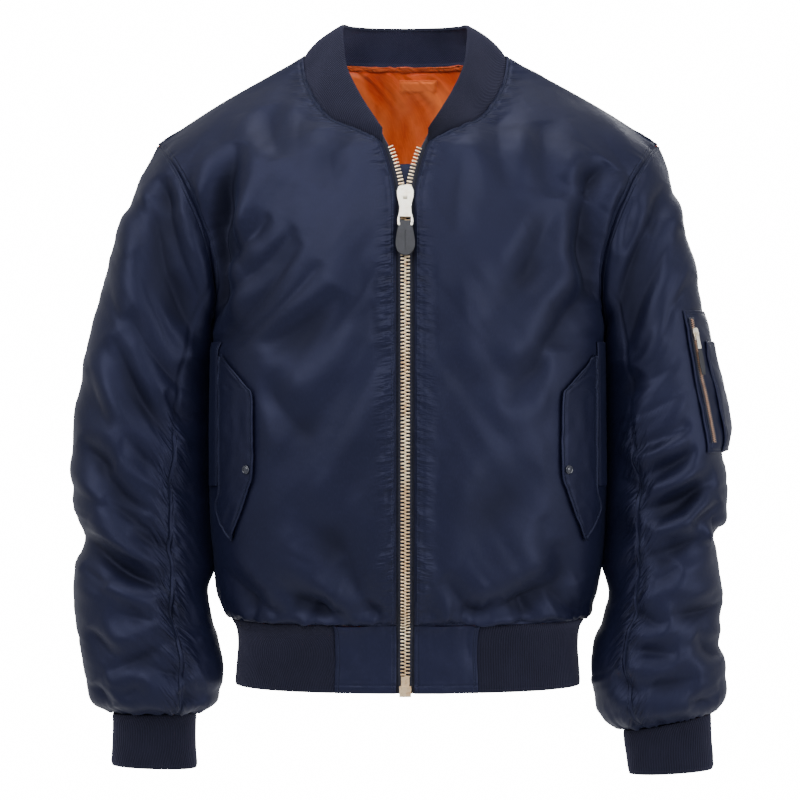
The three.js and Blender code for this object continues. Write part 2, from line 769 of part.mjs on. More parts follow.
function zipStrip(side, from, to, behind, thickness, lowV, highV) {
  const place = (u, v) => besideZip(side, mix(lowV, highV, v), mix(from, to, u), behind);
  const core = (u, v) => place(u, v).add(point(0, 50, 0));
  return wall({ at: place, core, grid: GRID.strip, thickness });
}

const CHAIN_BEHIND = 0.6;
const CHAIN_MIDDLE = -(FRONT[0].zipX - SEAM_GAP / 2);
const TAPE_BEHIND = RIB_WALL + 1.2;
const TAPE_START = CHAIN_MIDDLE + CHAIN_HALF + SEAM_GAP;
for (const { name, side } of SIDES) {
  add(`zip_teeth_${name}`, zipStrip(side, CHAIN_MIDDLE, CHAIN_MIDDLE + CHAIN_HALF, CHAIN_BEHIND,
    CHAIN_DEPTH, 0.035, 0.985), BRASS, 0.3, 1);
  add(`zip_tape_${name}`, zipStrip(side, TAPE_START, TAPE_START + TAPE_WIDTH, TAPE_BEHIND,
    TAPE_WALL, 0, 0.985), NAVY_SATIN, 0.7);
}

// Wind flap behind the zip, up to just below the open top
const WIND_FLAP = { half: 27, behind: 8, wall: 1.8, topV: 0.9 };
add('wind_flap', wall({
  at: (u, v) => {
    const place = besideZip(1, mix(0.01, WIND_FLAP.topV, v), 0, WIND_FLAP.behind);
    place.x = mix(-WIND_FLAP.half, WIND_FLAP.half, u);
    return place;
  },
  core: (u, v) => point(0, 0, zipEdge(v).z),
  grid: GRID.windFlap,
  thickness: WIND_FLAP.wall,
}), NAVY_SATIN, 0.45);

// Turns a geometry into a solid that can be joined and cut, and back
function solidFrom(geometry) {
  const bare = geometry.clone();
  bare.deleteAttribute('normal');
  bare.deleteAttribute('uv');
  const merged = mergeVertices(bare, 1e-4);
  return new wasm.Manifold(new wasm.Mesh({
    numProp: 3,
    vertProperties: new Float32Array(merged.attributes.position.array),
    triVerts: new Uint32Array(merged.index.array),
  }));
}

function geometryFrom(solid) {
  const mesh = solid.getMesh();
  const geometry = new THREE.BufferGeometry();
  geometry.setAttribute('position', new THREE.BufferAttribute(mesh.vertProperties, 3));
  geometry.setIndex(new THREE.BufferAttribute(mesh.triVerts, 1));
  return geometry;
}

// A plate that stands in the XZ plane, its outline given as x and z, between two depths in y
function plate(shape, frontY, backY) {
  const geometry = new THREE.ExtrudeGeometry(shape, {
    depth: backY - frontY,
    bevelEnabled: false,
    curveSegments: 5,
  });
  return geometry.rotateX(Math.PI / 2).translate(0, backY, 0);
}

// A symmetric outline from half widths at heights, read down one side and up the other
function symmetricShape(profile) {
  const right = profile.map(({ half, z }) => new THREE.Vector2(half, z));
  const left = profile.map(({ half, z }) => new THREE.Vector2(-half, z)).reverse();
  return new THREE.Shape([...right, ...left]);
}

function rectangle(halfX, lowZ, highZ) {
  return symmetricShape([{ half: halfX, z: highZ }, { half: halfX, z: lowZ }]);
}

// Sliders. Each is drawn about the pin of its pull, which lies along x, with -y away from the
// cloth and +z up the zip.
const PROFILE = 'half z';
const MAIN_ZIP = {
  slider: table(PROFILE, [[3, 12], [6.6, 10.4], [8.3, 5.6], [8.1, 0], [6.6, -6], [6, -10]]),
  sliderWall: 2.2,
  pinClear: 1.6,
  loopInner: 1.9,
  loopOuter: 3.4,
  loopWide: 4,
  pull: table(PROFILE, [[5.5, 0.9], [5.5, -9], [6.2, -18], [7.8, -24], [7.8, -30], [6.8, -31.2]]),
  pullWall: 1.8,
  eyeHalf: 5.6,
  eyeTop: -22,
  eyeBottom: -28.4,
  tag: table(PROFILE, [
    [5.2, -26.4], [5.2, -31.6], [7, -32.6], [8.6, -40], [9.7, -48],
    [9.5, -53], [8, -57.6], [5, -61], [1.6, -62.4],
  ]),
  tagHalf: 1.9,
  barHalf: 1.2,
  slitHalf: 0.6,
  slitTop: -37,
  slitBottom: -56,
  slitDepth: 0.8,
};
const SLEEVE_ZIP = {
  slider: table(PROFILE, [[1.6, 6], [3.4, 5], [3.6, 1], [2.8, -4], [2.6, -6.6]]),
  sliderWall: 1.6,
  pinClear: 1.1,
  loopInner: 1.1,
  loopOuter: 2,
  loopWide: 1.6,
  pull: table(PROFILE, [[1.9, 0.6], [1.9, -8], [2.6, -14], [2.2, -16]]),
  pullWall: 1.2,
  strap: table(PROFILE, [[1.4, -16.4], [2.8, -20], [3.1, -34], [2.2, -43]]),
};

// The slider's front plate with the loop that holds the pull
function sliderSolid(zip) {
  const faceY = zip.pinClear;
  const front = solidFrom(plate(symmetricShape(zip.slider), faceY, faceY + zip.sliderWall));
  const outline = new THREE.Shape();
  outline.moveTo(faceY + 0.5, zip.loopOuter);
  outline.absarc(0, 0, zip.loopOuter, Math.PI / 2, (3 * Math.PI) / 2, false);
  outline.lineTo(faceY + 0.5, -zip.loopOuter);
  outline.lineTo(faceY + 0.5, -zip.loopInner);
  outline.absarc(0, 0, zip.loopInner, (3 * Math.PI) / 2, Math.PI / 2, true);
  outline.lineTo(faceY + 0.5, zip.loopInner);
  const loop = new THREE.ExtrudeGeometry(outline, {
    depth: zip.loopWide,
    bevelEnabled: false,
    curveSegments: 8,
  });
  loop.translate(0, 0, -zip.loopWide / 2);
  loop.applyMatrix4(new THREE.Matrix4().makeBasis(point(0, 1, 0), point(0, 0, 1), point(1, 0, 0)));
  return front.add(solidFrom(loop));
}

// The pull: a plate whose top bar is the pin, with a window below it for the slider's loop
function pullSolid(zip) {
  const half = zip.pullWall / 2;
  const body = solidFrom(plate(symmetricShape(zip.pull), -half, half));
  const window = rectangle(zip.loopWide / 2 + 0.4, -zip.loopOuter - 0.7, -half);
  return body.subtract(solidFrom(plate(window, -half - 1, half + 1)));
}

// Main slider: the pin's place beside the zip, tilted with the cloth
const PIN_V = 0.892;
const SLIDER_BACK = CHAIN_BEHIND - SEAM_GAP - 0.5;
const PIN_BEHIND = SLIDER_BACK - MAIN_ZIP.sliderWall - MAIN_ZIP.pinClear;
const mainPin = besideZip(1, PIN_V, 0, PIN_BEHIND).setX(0);
const mainTilt = Math.atan2(zipInward(PIN_V).z, zipInward(PIN_V).y);
const mainFrame = (mesh) => {
  mesh.position.copy(mainPin);
  mesh.rotation.x = mainTilt;
};

// A post between the two rows of teeth joins the front plate to the plate behind the tapes
const POST = { half: 1, lowZ: 9, highZ: 11.6, backWall: 1.4, backHalf: 5.4, backLow: -8 };
const backPlateY = -PIN_BEHIND + TAPE_BEHIND + TAPE_WALL + 0.4;
const post = plate(rectangle(POST.half, POST.lowZ, POST.highZ), MAIN_ZIP.pinClear + 1, backPlateY + 0.5);
const backPlate = plate(rectangle(POST.backHalf, POST.backLow, POST.highZ), backPlateY,
  backPlateY + POST.backWall);
const mainSlider = sliderSolid(MAIN_ZIP).add(solidFrom(post)).add(solidFrom(backPlate));
mainFrame(add('zip_slider', geometryFrom(mainSlider), PALE_GOLD, 0.3, 1));

const eye = rectangle(MAIN_ZIP.eyeHalf, MAIN_ZIP.eyeBottom, MAIN_ZIP.eyeTop);
const mainPull = pullSolid(MAIN_ZIP).subtract(solidFrom(plate(eye, -3, 3)));
mainFrame(add('zip_pull', geometryFrom(mainPull), PALE_GOLD, 0.3, 1));

// The tag grips the bar below the pull's eye and has a plain slit down its face
const barLow = MAIN_ZIP.pull[MAIN_ZIP.pull.length - 1].z - 0.3;
const barHole = plate(rectangle(MAIN_ZIP.eyeHalf + 3, barLow, MAIN_ZIP.eyeBottom + 0.3),
  -MAIN_ZIP.barHalf, MAIN_ZIP.barHalf);
const slit = plate(rectangle(MAIN_ZIP.slitHalf, MAIN_ZIP.slitBottom, MAIN_ZIP.slitTop),
  -MAIN_ZIP.tagHalf - 1, -MAIN_ZIP.tagHalf + MAIN_ZIP.slitDepth);
const tagPlate = plate(symmetricShape(MAIN_ZIP.tag), -MAIN_ZIP.tagHalf, MAIN_ZIP.tagHalf);
const tag = solidFrom(tagPlate).subtract(solidFrom(barHole)).subtract(solidFrom(slit));
mainFrame(add('zip_tag', geometryFrom(tag), CHARCOAL, 0.6));

// Box at the foot of the zip with the two retainer pins above it
const BOX = { half: 6, low: -659, top: -648, pinTop: -638.5, pinHalf: 4.2, front: -1.2, back: 3 };
const hemFaceY = -HEM[HEM.length - 1].front;
const boxBody = solidFrom(plate(rectangle(BOX.half, BOX.low, BOX.top), hemFaceY + BOX.front,
  hemFaceY + BOX.back));
const pins = solidFrom(plate(rectangle(BOX.pinHalf, BOX.top - 1, BOX.pinTop), hemFaceY + 0.4,
  hemFaceY + BOX.back - 0.3));
add('zip_box', geometryFrom(boxBody.add(pins)), BRASS, 0.3, 1);

// Pocket flaps: the edge beside the welt and the free edge, at heights from the tip to the top
const FLAP = table('z welt free', [
  [-502, 178, 175],
  [-486, 189, 169.5],
  [-470, 195, 163],
  [-452, 190.5, 157],
  [-434, 190.5, 151.5],
  [-393, 190.5, 151],
  [-356, 190.5, 152],
  [-346, 190.5, 158],
  [-330, 190.5, 172],
  [-315, 190, 186],
]);
const WELT = { fromX: 191.6, toX: 202, lowZ: -448, highZ: -300 };
const SNAP = { x: 158, z: -430, radius: 4.6, height: 1.7 };
const CLOTH_START = [0.75, 0.4];

function onFront(side, x, z, lift) {
  const at = (u, v) => frontAt(side, u, v);
  const core = (u, v) => bodyCore(frontForm(side, u, v))();
  return pointOver(at, core, side * x + BODY_LEAN * (x / FRONT[4].wide), z, CLOTH_START, lift);
}

for (const { name, side } of SIDES) {
  const core = () => point(0, 0, -400);
  const lift = FLAP_LIFT + FLAP_WALL;
  add(`pocket_flap_${name}`, wall({
    at: (u, v) => {
      const row = sectionAt(FLAP, v);
      return onFront(side, mix(row.free, row.welt, u), row.z, lift);
    },
    core,
    grid: [4, FLAP.length - 1],
    thickness: FLAP_WALL,
  }), NAVY_SATIN, 0.45);
  add(`pocket_welt_${name}`, wall({
    at: (u, v) => onFront(side, mix(WELT.fromX, WELT.toX, u), mix(WELT.lowZ, WELT.highZ, v), lift),
    core,
    grid: [2, 8],
    thickness: FLAP_WALL,
  }), NAVY_SATIN, 0.45);
  const base = onFront(side, SNAP.x, SNAP.z, lift + SEAM_GAP + 0.1);
  const out = onFront(side, SNAP.x, SNAP.z, lift + 10).sub(base).normalize();
  const dome = [[0, 0], [1, 0], [1, 0.3], [0.75, 0.8], [0.35, 1], [0, 1]];
  const profile = dome.map(([r, h]) => new THREE.Vector2(r * SNAP.radius, h * SNAP.height));
  const snap = add(`snap_${name}`, new THREE.LatheGeometry(profile, 16), NAVY_RIB, 0.4, 0.3);
  snap.quaternion.setFromUnitVectors(point(0, 1, 0), out);
  snap.position.copy(base);
}

// Sleeve pocket on the wearer's left sleeve, its pen pocket and its zip. Turns are round the
// sleeve, heights are those of the cloth.
const POCKET = { fromTurn: 0.165, toTurn: -0.125, topZ: -268, lowZ: -414 };
const PEN_POCKET = { fromTurn: 0.105, toTurn: -0.1, topZ: -300, lowZ: -412 };
const ZIP_LINE = { turn: 0.146, half: 2.6, topZ: -276, lowZ: -404, wall: 1.2 };

// Place on the left sleeve at a turn and a height, moved out along the normal
function onSleeve(turn, z, lift) {
  const whole = ((turn % 1) + 1) % 1;
  let [low, high] = [CAP_LENGTH, 0.9];
  for (let i = 0; i < 30; i += 1) {
    const middle = (low + high) / 2;
    if (sleeveAt(1, whole, middle).z > z) low = middle;
    else high = middle;
  }
  const at = (a, b) => sleeveAt(1, ((a % 1) + 1) % 1, b);
  return at(turn, low).addScaledVector(normalAt(at, sleeveCore(1), turn, low, true), lift);
}

const pocketCore = () => point(255, -10, -345);
const POCKET_LIFT = 1.8 + FLAP_WALL;
const PEN_LIFT = POCKET_LIFT + FLAP_WALL + 1;
const pocketPieces = [
  { name: 'sleeve_pocket', place: POCKET, lift: POCKET_LIFT, grid: [8, 6] },
  { name: 'pen_pocket', place: PEN_POCKET, lift: PEN_LIFT, grid: [6, 5] },
];
for (const { name, place, lift, grid } of pocketPieces) {
  add(name, wall({
    at: (u, v) => onSleeve(mix(place.fromTurn, place.toTurn, u), mix(place.lowZ, place.topZ, v), lift),
    core: pocketCore,
    grid,
    thickness: FLAP_WALL,
  }), NAVY_SATIN, 0.45);
}

// Frame on the sleeve zip at a height: across the zip, into the sleeve, and up the zip
function sleeveZipFrame(z, lift) {
  const place = onSleeve(ZIP_LINE.turn, z, lift);
  const up = onSleeve(ZIP_LINE.turn, z + 4, lift).sub(onSleeve(ZIP_LINE.turn, z - 4, lift)).normalize();
  const into = onSleeve(ZIP_LINE.turn, z, lift - 5).sub(place).normalize();
  const across = into.clone().cross(up).normalize();
  into.crossVectors(up, across).normalize();
  return { place, across, into, up };
}

const ZIP_LIFT = POCKET_LIFT + 0.5 + ZIP_LINE.wall;
add('sleeve_zip', wall({
  at: (u, v) => {
    const { place, across } = sleeveZipFrame(mix(ZIP_LINE.lowZ, ZIP_LINE.topZ, v), ZIP_LIFT);
    return place.addScaledVector(across, mix(-ZIP_LINE.half, ZIP_LINE.half, u));
  },
  core: pocketCore,
  grid: [1, 10],
  thickness: ZIP_LINE.wall,
}), BRASS, 0.4, 1);

const SLEEVE_PIN_Z = -293;
const pinLift = ZIP_LIFT + SEAM_GAP + 0.3 + SLEEVE_ZIP.sliderWall + SLEEVE_ZIP.pinClear;
const sleevePin = sleeveZipFrame(SLEEVE_PIN_Z, pinLift);
const sleeveFrame = (mesh) => {
  const basis = new THREE.Matrix4().makeBasis(sleevePin.across, sleevePin.into, sleevePin.up);
  mesh.quaternion.setFromRotationMatrix(basis);
  mesh.position.copy(sleevePin.place);
};
sleeveFrame(add('sleeve_slider', geometryFrom(sliderSolid(SLEEVE_ZIP)), PALE_GOLD, 0.3, 1));
sleeveFrame(add('sleeve_pull', geometryFrom(pullSolid(SLEEVE_ZIP)), PALE_GOLD, 0.3, 1));
const strapHalf = SLEEVE_ZIP.pullWall / 2 + 0.1;
const strap = plate(symmetricShape(SLEEVE_ZIP.strap), -strapHalf, strapHalf);
sleeveFrame(add('sleeve_pull_strap', strap, CHARCOAL, 0.6));

export default jacket;
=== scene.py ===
"""Bomber jacket in navy satin nylon, filled out as if worn, on a pale floor."""

import math
from types import SimpleNamespace

import bmesh
import bpy
import numpy as np
from mathutils import Matrix, Vector


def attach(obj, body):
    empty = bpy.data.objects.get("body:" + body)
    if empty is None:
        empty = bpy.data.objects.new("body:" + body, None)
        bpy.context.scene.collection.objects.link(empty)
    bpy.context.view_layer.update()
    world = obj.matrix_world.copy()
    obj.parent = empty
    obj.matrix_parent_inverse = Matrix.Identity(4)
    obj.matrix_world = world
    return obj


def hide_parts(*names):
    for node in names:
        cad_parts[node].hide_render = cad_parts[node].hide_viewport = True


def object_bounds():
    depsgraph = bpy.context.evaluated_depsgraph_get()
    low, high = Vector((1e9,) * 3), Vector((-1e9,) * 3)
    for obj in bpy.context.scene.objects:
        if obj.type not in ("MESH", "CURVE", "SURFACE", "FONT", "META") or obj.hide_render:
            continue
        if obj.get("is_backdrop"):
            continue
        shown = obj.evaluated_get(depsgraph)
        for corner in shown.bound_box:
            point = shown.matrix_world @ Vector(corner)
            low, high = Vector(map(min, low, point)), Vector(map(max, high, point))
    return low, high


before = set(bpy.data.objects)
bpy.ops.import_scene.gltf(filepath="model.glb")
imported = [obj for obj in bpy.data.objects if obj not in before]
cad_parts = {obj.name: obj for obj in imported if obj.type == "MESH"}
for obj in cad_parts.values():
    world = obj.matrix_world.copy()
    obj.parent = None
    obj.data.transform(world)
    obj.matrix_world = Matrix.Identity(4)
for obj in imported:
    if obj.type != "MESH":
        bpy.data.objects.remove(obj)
cad_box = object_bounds()

MM = 0.001
RIGHT, LEFT = -1, 1
SIDES = {"right": RIGHT, "left": LEFT}

# Camera, level with the middle of the jacket
EYE = Vector((-5.25, -2600, -360)) * MM
camera = bpy.data.objects.new("camera", bpy.data.cameras.new("camera"))
camera.location = EYE
camera.rotation_euler = (math.pi / 2, 0, 0)
camera.data.sensor_width = 36
camera.data.lens = 36 * 2600 / 840
bpy.context.scene.collection.objects.link(camera)
bpy.context.scene.camera = camera

# Sizes in millimetres, as in the part's source
SATIN_WALL = 1.6
RIB_WALL = 3.0
COLLAR_WALL = 3.4
FLAP_WALL = 1.8
SECTION_POWER = 2.4
BODY_LEAN = 3
HEM_PANEL_HALF = 72
CHAIN_HALF = 4.3
UNDERARM = 6 / 14
FRONT_NECK = 10 / 14
BACK_YOKE = 11 / 14
NECK_SHOULDER = 3 / 9
CAP_LENGTH = 0.16
SLEEVE_LONG = 640
SLEEVE_ROUND = 430
UNDER_SEAM = {-1: 0.352, 1: 0.362}
BACK_SEAM = 225 / 360


def table(columns, rows):
    """A table read by column: each row is one section, fold or place."""
    return dict(zip(columns.split(), np.array(rows, dtype=float).T))


# Neckline from the centre back to the zip: the seam, and the collar's upper edge above it
NECK = table("seamX seamY seamZ topX topY topZ", [
    [0, 66, -2, 0, 50, 38],
    [50, 60, -1, 38, 44, 38],
    [88, 36, 0, 57, 27, 37],
    [105, 0, 2, 65, 2, 34],
    [103, -22, -24, 64, -24, 12],
    [93, -46, -48, 60, -47, -15],
    [77, -67, -70, 49, -69, -41],
    [57, -86, -81, 36, -87, -64],
    [39, -98, -90, 28, -99, -77],
    [25, -107, -98, 23, -105, -85],
])

# One front, from the rib up to the shoulder seam
FRONT = table("zipX zipZ sideX sideZ wide deep", [
    [9, -588, 186, -588, 186, 114],
    [9, -566, 197, -564, 197, 126],
    [9, -530, 204, -527, 204, 135],
    [9, -478, 208, -474, 208, 141],
    [9, -420, 208, -416, 208, 145],
    [9, -352, 206, -356, 206, 145],
    [9, -288, 205, -300, 205, 142],
    [9, -242, 202.5, -268, 204.7, 139],
    [9, -194, 200, -236, 207.7, 133],
    [10.5, -146, 204, -206, 219.5, 122],
    [25, -98, 213, -176, 239.4, 108],
    [47, -86, 225, -148, 260.7, 96],
    [77, -70, 237, -124, 286.6, 76],
    [99, -36, 249, -106, 328, 46],
    [105, 2, 262, -92, 262, 1],
])

# The back, from the rib up to the neckline and the shoulder seams
BACK = table("midZ sideX sideZ wide deep", [
    [-588, 186, -588, 186, 100],
    [-566, 197, -564, 197, 118],
    [-530, 204, -527, 204, 128],
    [-478, 208, -474, 208, 132],
    [-420, 208, -416, 208, 133],
    [-352, 206, -356, 206, 135],
    [-288, 205, -300, 205, 137],
    [-238, 207, -268, 209.2, 138],
    [-190, 209, -238, 216.4, 137],
    [-145, 213, -210, 228, 132],
    [-106, 221, -180, 243, 124],
    [-72, 230, -152, 258, 112],
    [-44, 240, -128, 266, 98],
    [-20, 251, -108, 264.8, 82],
    [-2, 262, -92, 262, 66],
])

# Each sleeve, from the armhole to the cuff: its outer and inner edge, its middle and half depth
SLEEVE_COLUMNS = "outX outZ inX inZ midY deep"
SLEEVES = {
    RIGHT: table(SLEEVE_COLUMNS, [
        [262, -92, 205, -300, 0, 60],
        [271, -112, 207.6, -316, -1, 62],
        [284, -142, 208.6, -334, -2, 62],
        [296, -174, 209, -352, -3, 65],
        [307, -208, 209, -372, -4, 68],
        [317, -246, 209, -392, -5, 70],
        [328, -284, 209, -414, -6, 72],
        [336, -322, 208.6, -436, -8, 73],
        [342, -362, 208.4, -460, -10, 74],
        [347, -402, 208, -484, -12, 74],
        [347, -440, 207.6, -508, -14, 73],
        [344, -474, 207, -530, -16, 72],
        [334, -502, 206, -550, -18, 69],
        [341, -530, 204, -570, -20, 71],
        [344, -560, 200, -590, -22, 70],
        [342, -590, 194, -612, -24, 68],
        [335, -622, 190, -634, -26, 66],
        [331, -652, 192, -656, -28, 62],
        [324, -672, 196, -674, -29, 54],
        [304, -684, 216, -683, -30, 30],
    ]),
    LEFT: table(SLEEVE_COLUMNS, [
        [263, -92, 208, -300, 0, 60],
        [271, -112, 213.6, -316, -1, 62],
        [281, -140, 214.6, -334, -2, 62],
        [290, -170, 215, -352, -3, 65],
        [299, -206, 215, -372, -4, 68],
        [306, -242, 215, -392, -5, 69],
        [313, -280, 215, -414, -6, 70],
        [320, -318, 215, -436, -8, 71],
        [329, -356, 214.6, -460, -10, 72],
        [335, -388, 214, -482, -12, 72],
        [330, -414, 213.6, -502, -13, 71],
        [336, -446, 213, -524, -15, 71],
        [333, -482, 212, -548, -17, 69],
        [323, -505, 211, -568, -19, 67],
        [328, -538, 206, -590, -21, 67],
        [331, -568, 196, -610, -23, 66],
        [325, -600, 193, -634, -25, 63],
        [332, -634, 195, -660, -27, 62],
        [331, -666, 203, -688, -29, 54],
        [318, -684, 226, -702, -30, 30],
    ]),
}

CUFFS = {
    RIGHT: table(SLEEVE_COLUMNS, [
        [304, -684.35, 216, -683.35, -30, 30],
        [303, -694, 217, -697, -30, 28],
        [303.5, -716, 216.5, -719, -30, 27.5],
        [305, -733, 215.5, -737, -30, 28],
        [304.5, -738, 216, -741, -30, 28],
    ]),
    LEFT: table(SLEEVE_COLUMNS, [
        [318, -684.35, 226, -702.35, -30, 30],
        [317.5, -694, 227, -712, -30, 28],
        [318.5, -716, 229, -728, -30, 27.5],
        [320, -737, 231, -743, -30, 28],
        [319, -742, 231.5, -747, -30, 28],
    ]),
}

HEM = table("z wide front back", [
    [-588.3, 185.6, 113.6, 99.6],
    [-597, 180, 110, 95],
    [-617, 178, 108, 94],
    [-642, 180, 108, 95],
    [-656, 181, 108, 95.5],
])

# Folds from end to end, with the depth of the trough (a ridge is below 0), its half width, and
# how sharp its bottom is: 2 is round, 1 is a crease
FOLD_COLUMNS = "fromX fromZ toX toZ depth width round"
FRONT_FOLDS = table(FOLD_COLUMNS, [
    [-172, -96, -194, -290, 20, 13, 1.4],
    [-198, -226, -136, -174, 7, 11, 1.3],
    [-198, -262, -110, -186, 8, 11, 1.3],
    [-200, -306, -104, -200, 11, 11, 1.2],
    [-188, -312, -84, -222, 10, 11, 1.2],
    [-174, -318, -66, -252, 7, 12, 1.3],
    [-64, -250, -136, -372, 6, 20, 1.6],
    [-40, -300, -120, -470, 6, 22, 1.7],
    [-36, -400, -84, -566, 5, 20, 1.7],
    [-150, -318, -30, -268, 5, 20, 1.7],
    [-80, -84, -70, -150, 6, 14, 1.5],
    [-142, -56, -126, -116, 6, 14, 1.6],
    [-108, -60, -100, -140, 4, 13, 1.5],
    [-132, -546, -40, -598, 13, 15, 1.4],
    [-62, -520, -18, -590, 7, 14, 1.5],
    [-190, -130, -160, -236, 6, 9, 1.3],
    [-150, -330, -96, -400, 5, 14, 1.5],
    [-40, -180, -24, -340, 3.5, 16, 1.7],
    [-124, -460, -36, -530, 6, 20, 1.7],
    [-190, -530, -120, -584, 7, 11, 1.3],
    [-98, -556, -60, -594, 7, 10, 1.2],
    [-142, -568, -112, -594, 6, 9, 1.2],
    [-160, -556, -146, -594, 5, 8, 1.2],
    [-40, -560, -16, -592, 5, 9, 1.3],
    [84, -574, 170, -536, 13, 15, 1.4],
    [52, -598, 96, -556, 9, 12, 1.4],
    [208, -116, 184, -154, 12, 13, 1.4],
    [186, -146, 198, -262, 16, 13, 1.4],
    [198, -240, 140, -312, 9, 15, 1.4],
    [196, -290, 96, -366, 8, 14, 1.4],
    [190, -196, 70, -290, 6, 20, 1.6],
    [160, -160, 120, -250, 6, 15, 1.5],
    [136, -430, 50, -530, 7, 24, 1.8],
    [60, -106, 54, -196, 5, 14, 1.5],
    [96, -64, 106, -146, 5, 14, 1.6],
    [140, -74, 152, -154, 5, 14, 1.6],
    [130, -330, 34, -356, 4, 18, 1.7],
    [26, -196, 38, -330, 3.5, 16, 1.7],
    [40, -410, 30, -530, 4, 16, 1.7],
    [38, -536, 88, -594, 7, 12, 1.3],
    [118, -556, 136, -596, 7, 10, 1.2],
    [148, -552, 184, -582, 7, 10, 1.2],
    [138, -476, 180, -544, 6, 14, 1.5],
    [20, -550, 34, -594, 5, 9, 1.3],
])
BACK_FOLDS = table(FOLD_COLUMNS, [
    [-185, -160, -176, -300, 6, 15, 1.5],
    [188, -150, 180, -290, 6, 15, 1.5],
    [-120, -500, -60, -575, 5, 16, 1.5],
    [70, -580, 140, -520, 5, 16, 1.5],
    [-40, -560, 30, -585, 4, 13, 1.4],
    [-150, -240, -60, -190, 3, 20, 1.7],
    [60, -200, 150, -250, 3, 20, 1.7],
    [-170, -280, -90, -220, 4, 14, 1.4],
    [168, -290, 96, -226, 4, 14, 1.4],
    [-176, -320, -70, -340, 4, 16, 1.5],
    [176, -330, 80, -352, 4, 16, 1.5],
    [-150, -430, -40, -470, 3, 20, 1.8],
    [140, -420, 20, -480, 3, 22, 1.8],
    [-170, -560, -110, -585, 4, 10, 1.3],
    [170, -556, 120, -588, 4, 10, 1.3],
    [-90, -550, -70, -592, 4, 9, 1.2],
    [86, -550, 60, -592, 4, 9, 1.2],
    [0, -530, -14, -590, 3, 11, 1.4],
    [-30, -60, -36, -200, 2.5, 22, 2],
    [60, -70, 48, -180, 2.5, 22, 2],
])
SLEEVE_FOLDS = {
    RIGHT: table(FOLD_COLUMNS, [
        [-250, -128, -196, -284, 9, 11, 1.2],
        [-264, -150, -218, -286, 15, 15, 1.3],
        [-240, -230, -200, -312, 8, 12, 1.3],
        [-277, -206, -226, -316, 10, 16, 1.5],
        [-256, -128, -238, -166, 5, 9, 1.4],
        [-286, -270, -207, -364, 12, 14, 1.3],
        [-300, -294, -234, -404, 14, 15, 1.3],
        [-246, -352, -204, -392, 9, 11, 1.3],
        [-282, -398, -246, -440, 8, 11, 1.3],
        [-335, -402, -296, -432, 10, 12, 1.3],
        [-318, -424, -258, -476, 9, 12, 1.3],
        [-306, -458, -246, -500, 9, 12, 1.3],
        [-250, -432, -208, -462, 7, 11, 1.3],
        [-334, -500, -238, -552, 16, 10, 1.2],
        [-330, -530, -300, -548, 7, 9, 1.3],
        [-280, -492, -230, -514, 7, 9, 1.3],
        [-300, -572, -250, -584, 7, 11, 1.3],
        [-304, -636, -240, -604, 9, 12, 1.3],
        [-272, -626, -216, -642, 7, 10, 1.2],
        [-292, -664, -262, -644, 7, 10, 1.3],
        [-228, -654, -208, -672, 7, 9, 1.3],
        [-320, -214, -272, -300, 5, 14, 1.6],
        [-326, -330, -300, -392, 5, 11, 1.4],
        [-326, -592, -296, -622, 7, 10, 1.3],
        [-252, -560, -206, -600, 7, 10, 1.3],
        [-320, -648, -300, -674, 6, 8, 1.2],
    ]),
    LEFT: table(FOLD_COLUMNS, [
        [258, -172, 208, -296, 13, 14, 1.3],
        [284, -180, 222, -318, 13, 16, 1.4],
        [272, -136, 254, -190, 6, 11, 1.4],
        [236, -150, 222, -210, 6, 9, 1.3],
        [300, -232, 262, -296, 6, 12, 1.4],
        [240, -330, 212, -372, 8, 12, 1.3],
        [228, -422, 286, -392, -8, 12, 1.6],
        [232, -412, 292, -384, 7, 8, 1.2],
        [232, -440, 306, -404, 8, 9, 1.3],
        [240, -472, 318, -440, 13, 11, 1.3],
        [248, -484, 306, -448, 10, 9, 1.3],
        [290, -486, 324, -466, 9, 9, 1.3],
        [318, -478, 328, -508, 9, 7, 1.2],
        [246, -518, 308, -498, 11, 12, 1.3],
        [248, -544, 280, -530, 8, 9, 1.3],
        [244, -524, 272, -524, 6, 8, 1.3],
        [270, -578, 330, -570, 10, 12, 1.3],
        [228, -612, 276, -617, 9, 10, 1.3],
        [236, -652, 300, -642, 8, 12, 1.4],
        [222, -440, 250, -454, 8, 10, 1.3],
        [296, -598, 328, -624, 7, 10, 1.3],
        [228, -570, 264, -592, 8, 10, 1.3],
        [212, -638, 242, -662, 7, 9, 1.3],
        [288, -666, 320, -670, 7, 9, 1.2],
        [206, -500, 236, -490, 7, 10, 1.3],
    ]),
}


# Number helpers
def mix(a, b, t):
    return a + (b - a) * t


def smooth(t):
    s = np.clip(t, 0, 1)
    return s * s * (3 - 2 * s)


def gauss(t):
    return np.exp(-(t ** 2))


def signed_power(value, power):
    return np.sign(value) * np.abs(value) ** power


def place(x, y, z):
    """Points from their coordinates."""
    return np.stack(np.broadcast_arrays(x, y, z), -1).astype(float)


def unit(vectors):
    return vectors / np.maximum(np.linalg.norm(vectors, axis=-1, keepdims=True), 1e-9)


def closer(points, target, share):
    return points + (target - points) * np.asarray(share)[..., None]


def section(rows, t):
    """All the columns of a table at t, from 0 on its first row to 1 on its last."""
    count = len(next(iter(rows.values())))
    at = np.clip(t, 0, 1) * (count - 1)
    low = np.minimum(np.floor(at).astype(int), count - 2)
    f = at - low
    read = {}
    for name, column in rows.items():
        a, b, c, d = (column[np.clip(low + step, 0, count - 1)] for step in (-1, 0, 1, 2))
        slope, next_slope = (c - a) / 2, (d - b) / 2
        bend = 3 * (c - b) - 2 * slope - next_slope
        twist = 2 * (b - c) + slope + next_slope
        read[name] = b + f * (slope + f * (bend + f * twist))
    return SimpleNamespace(**read)


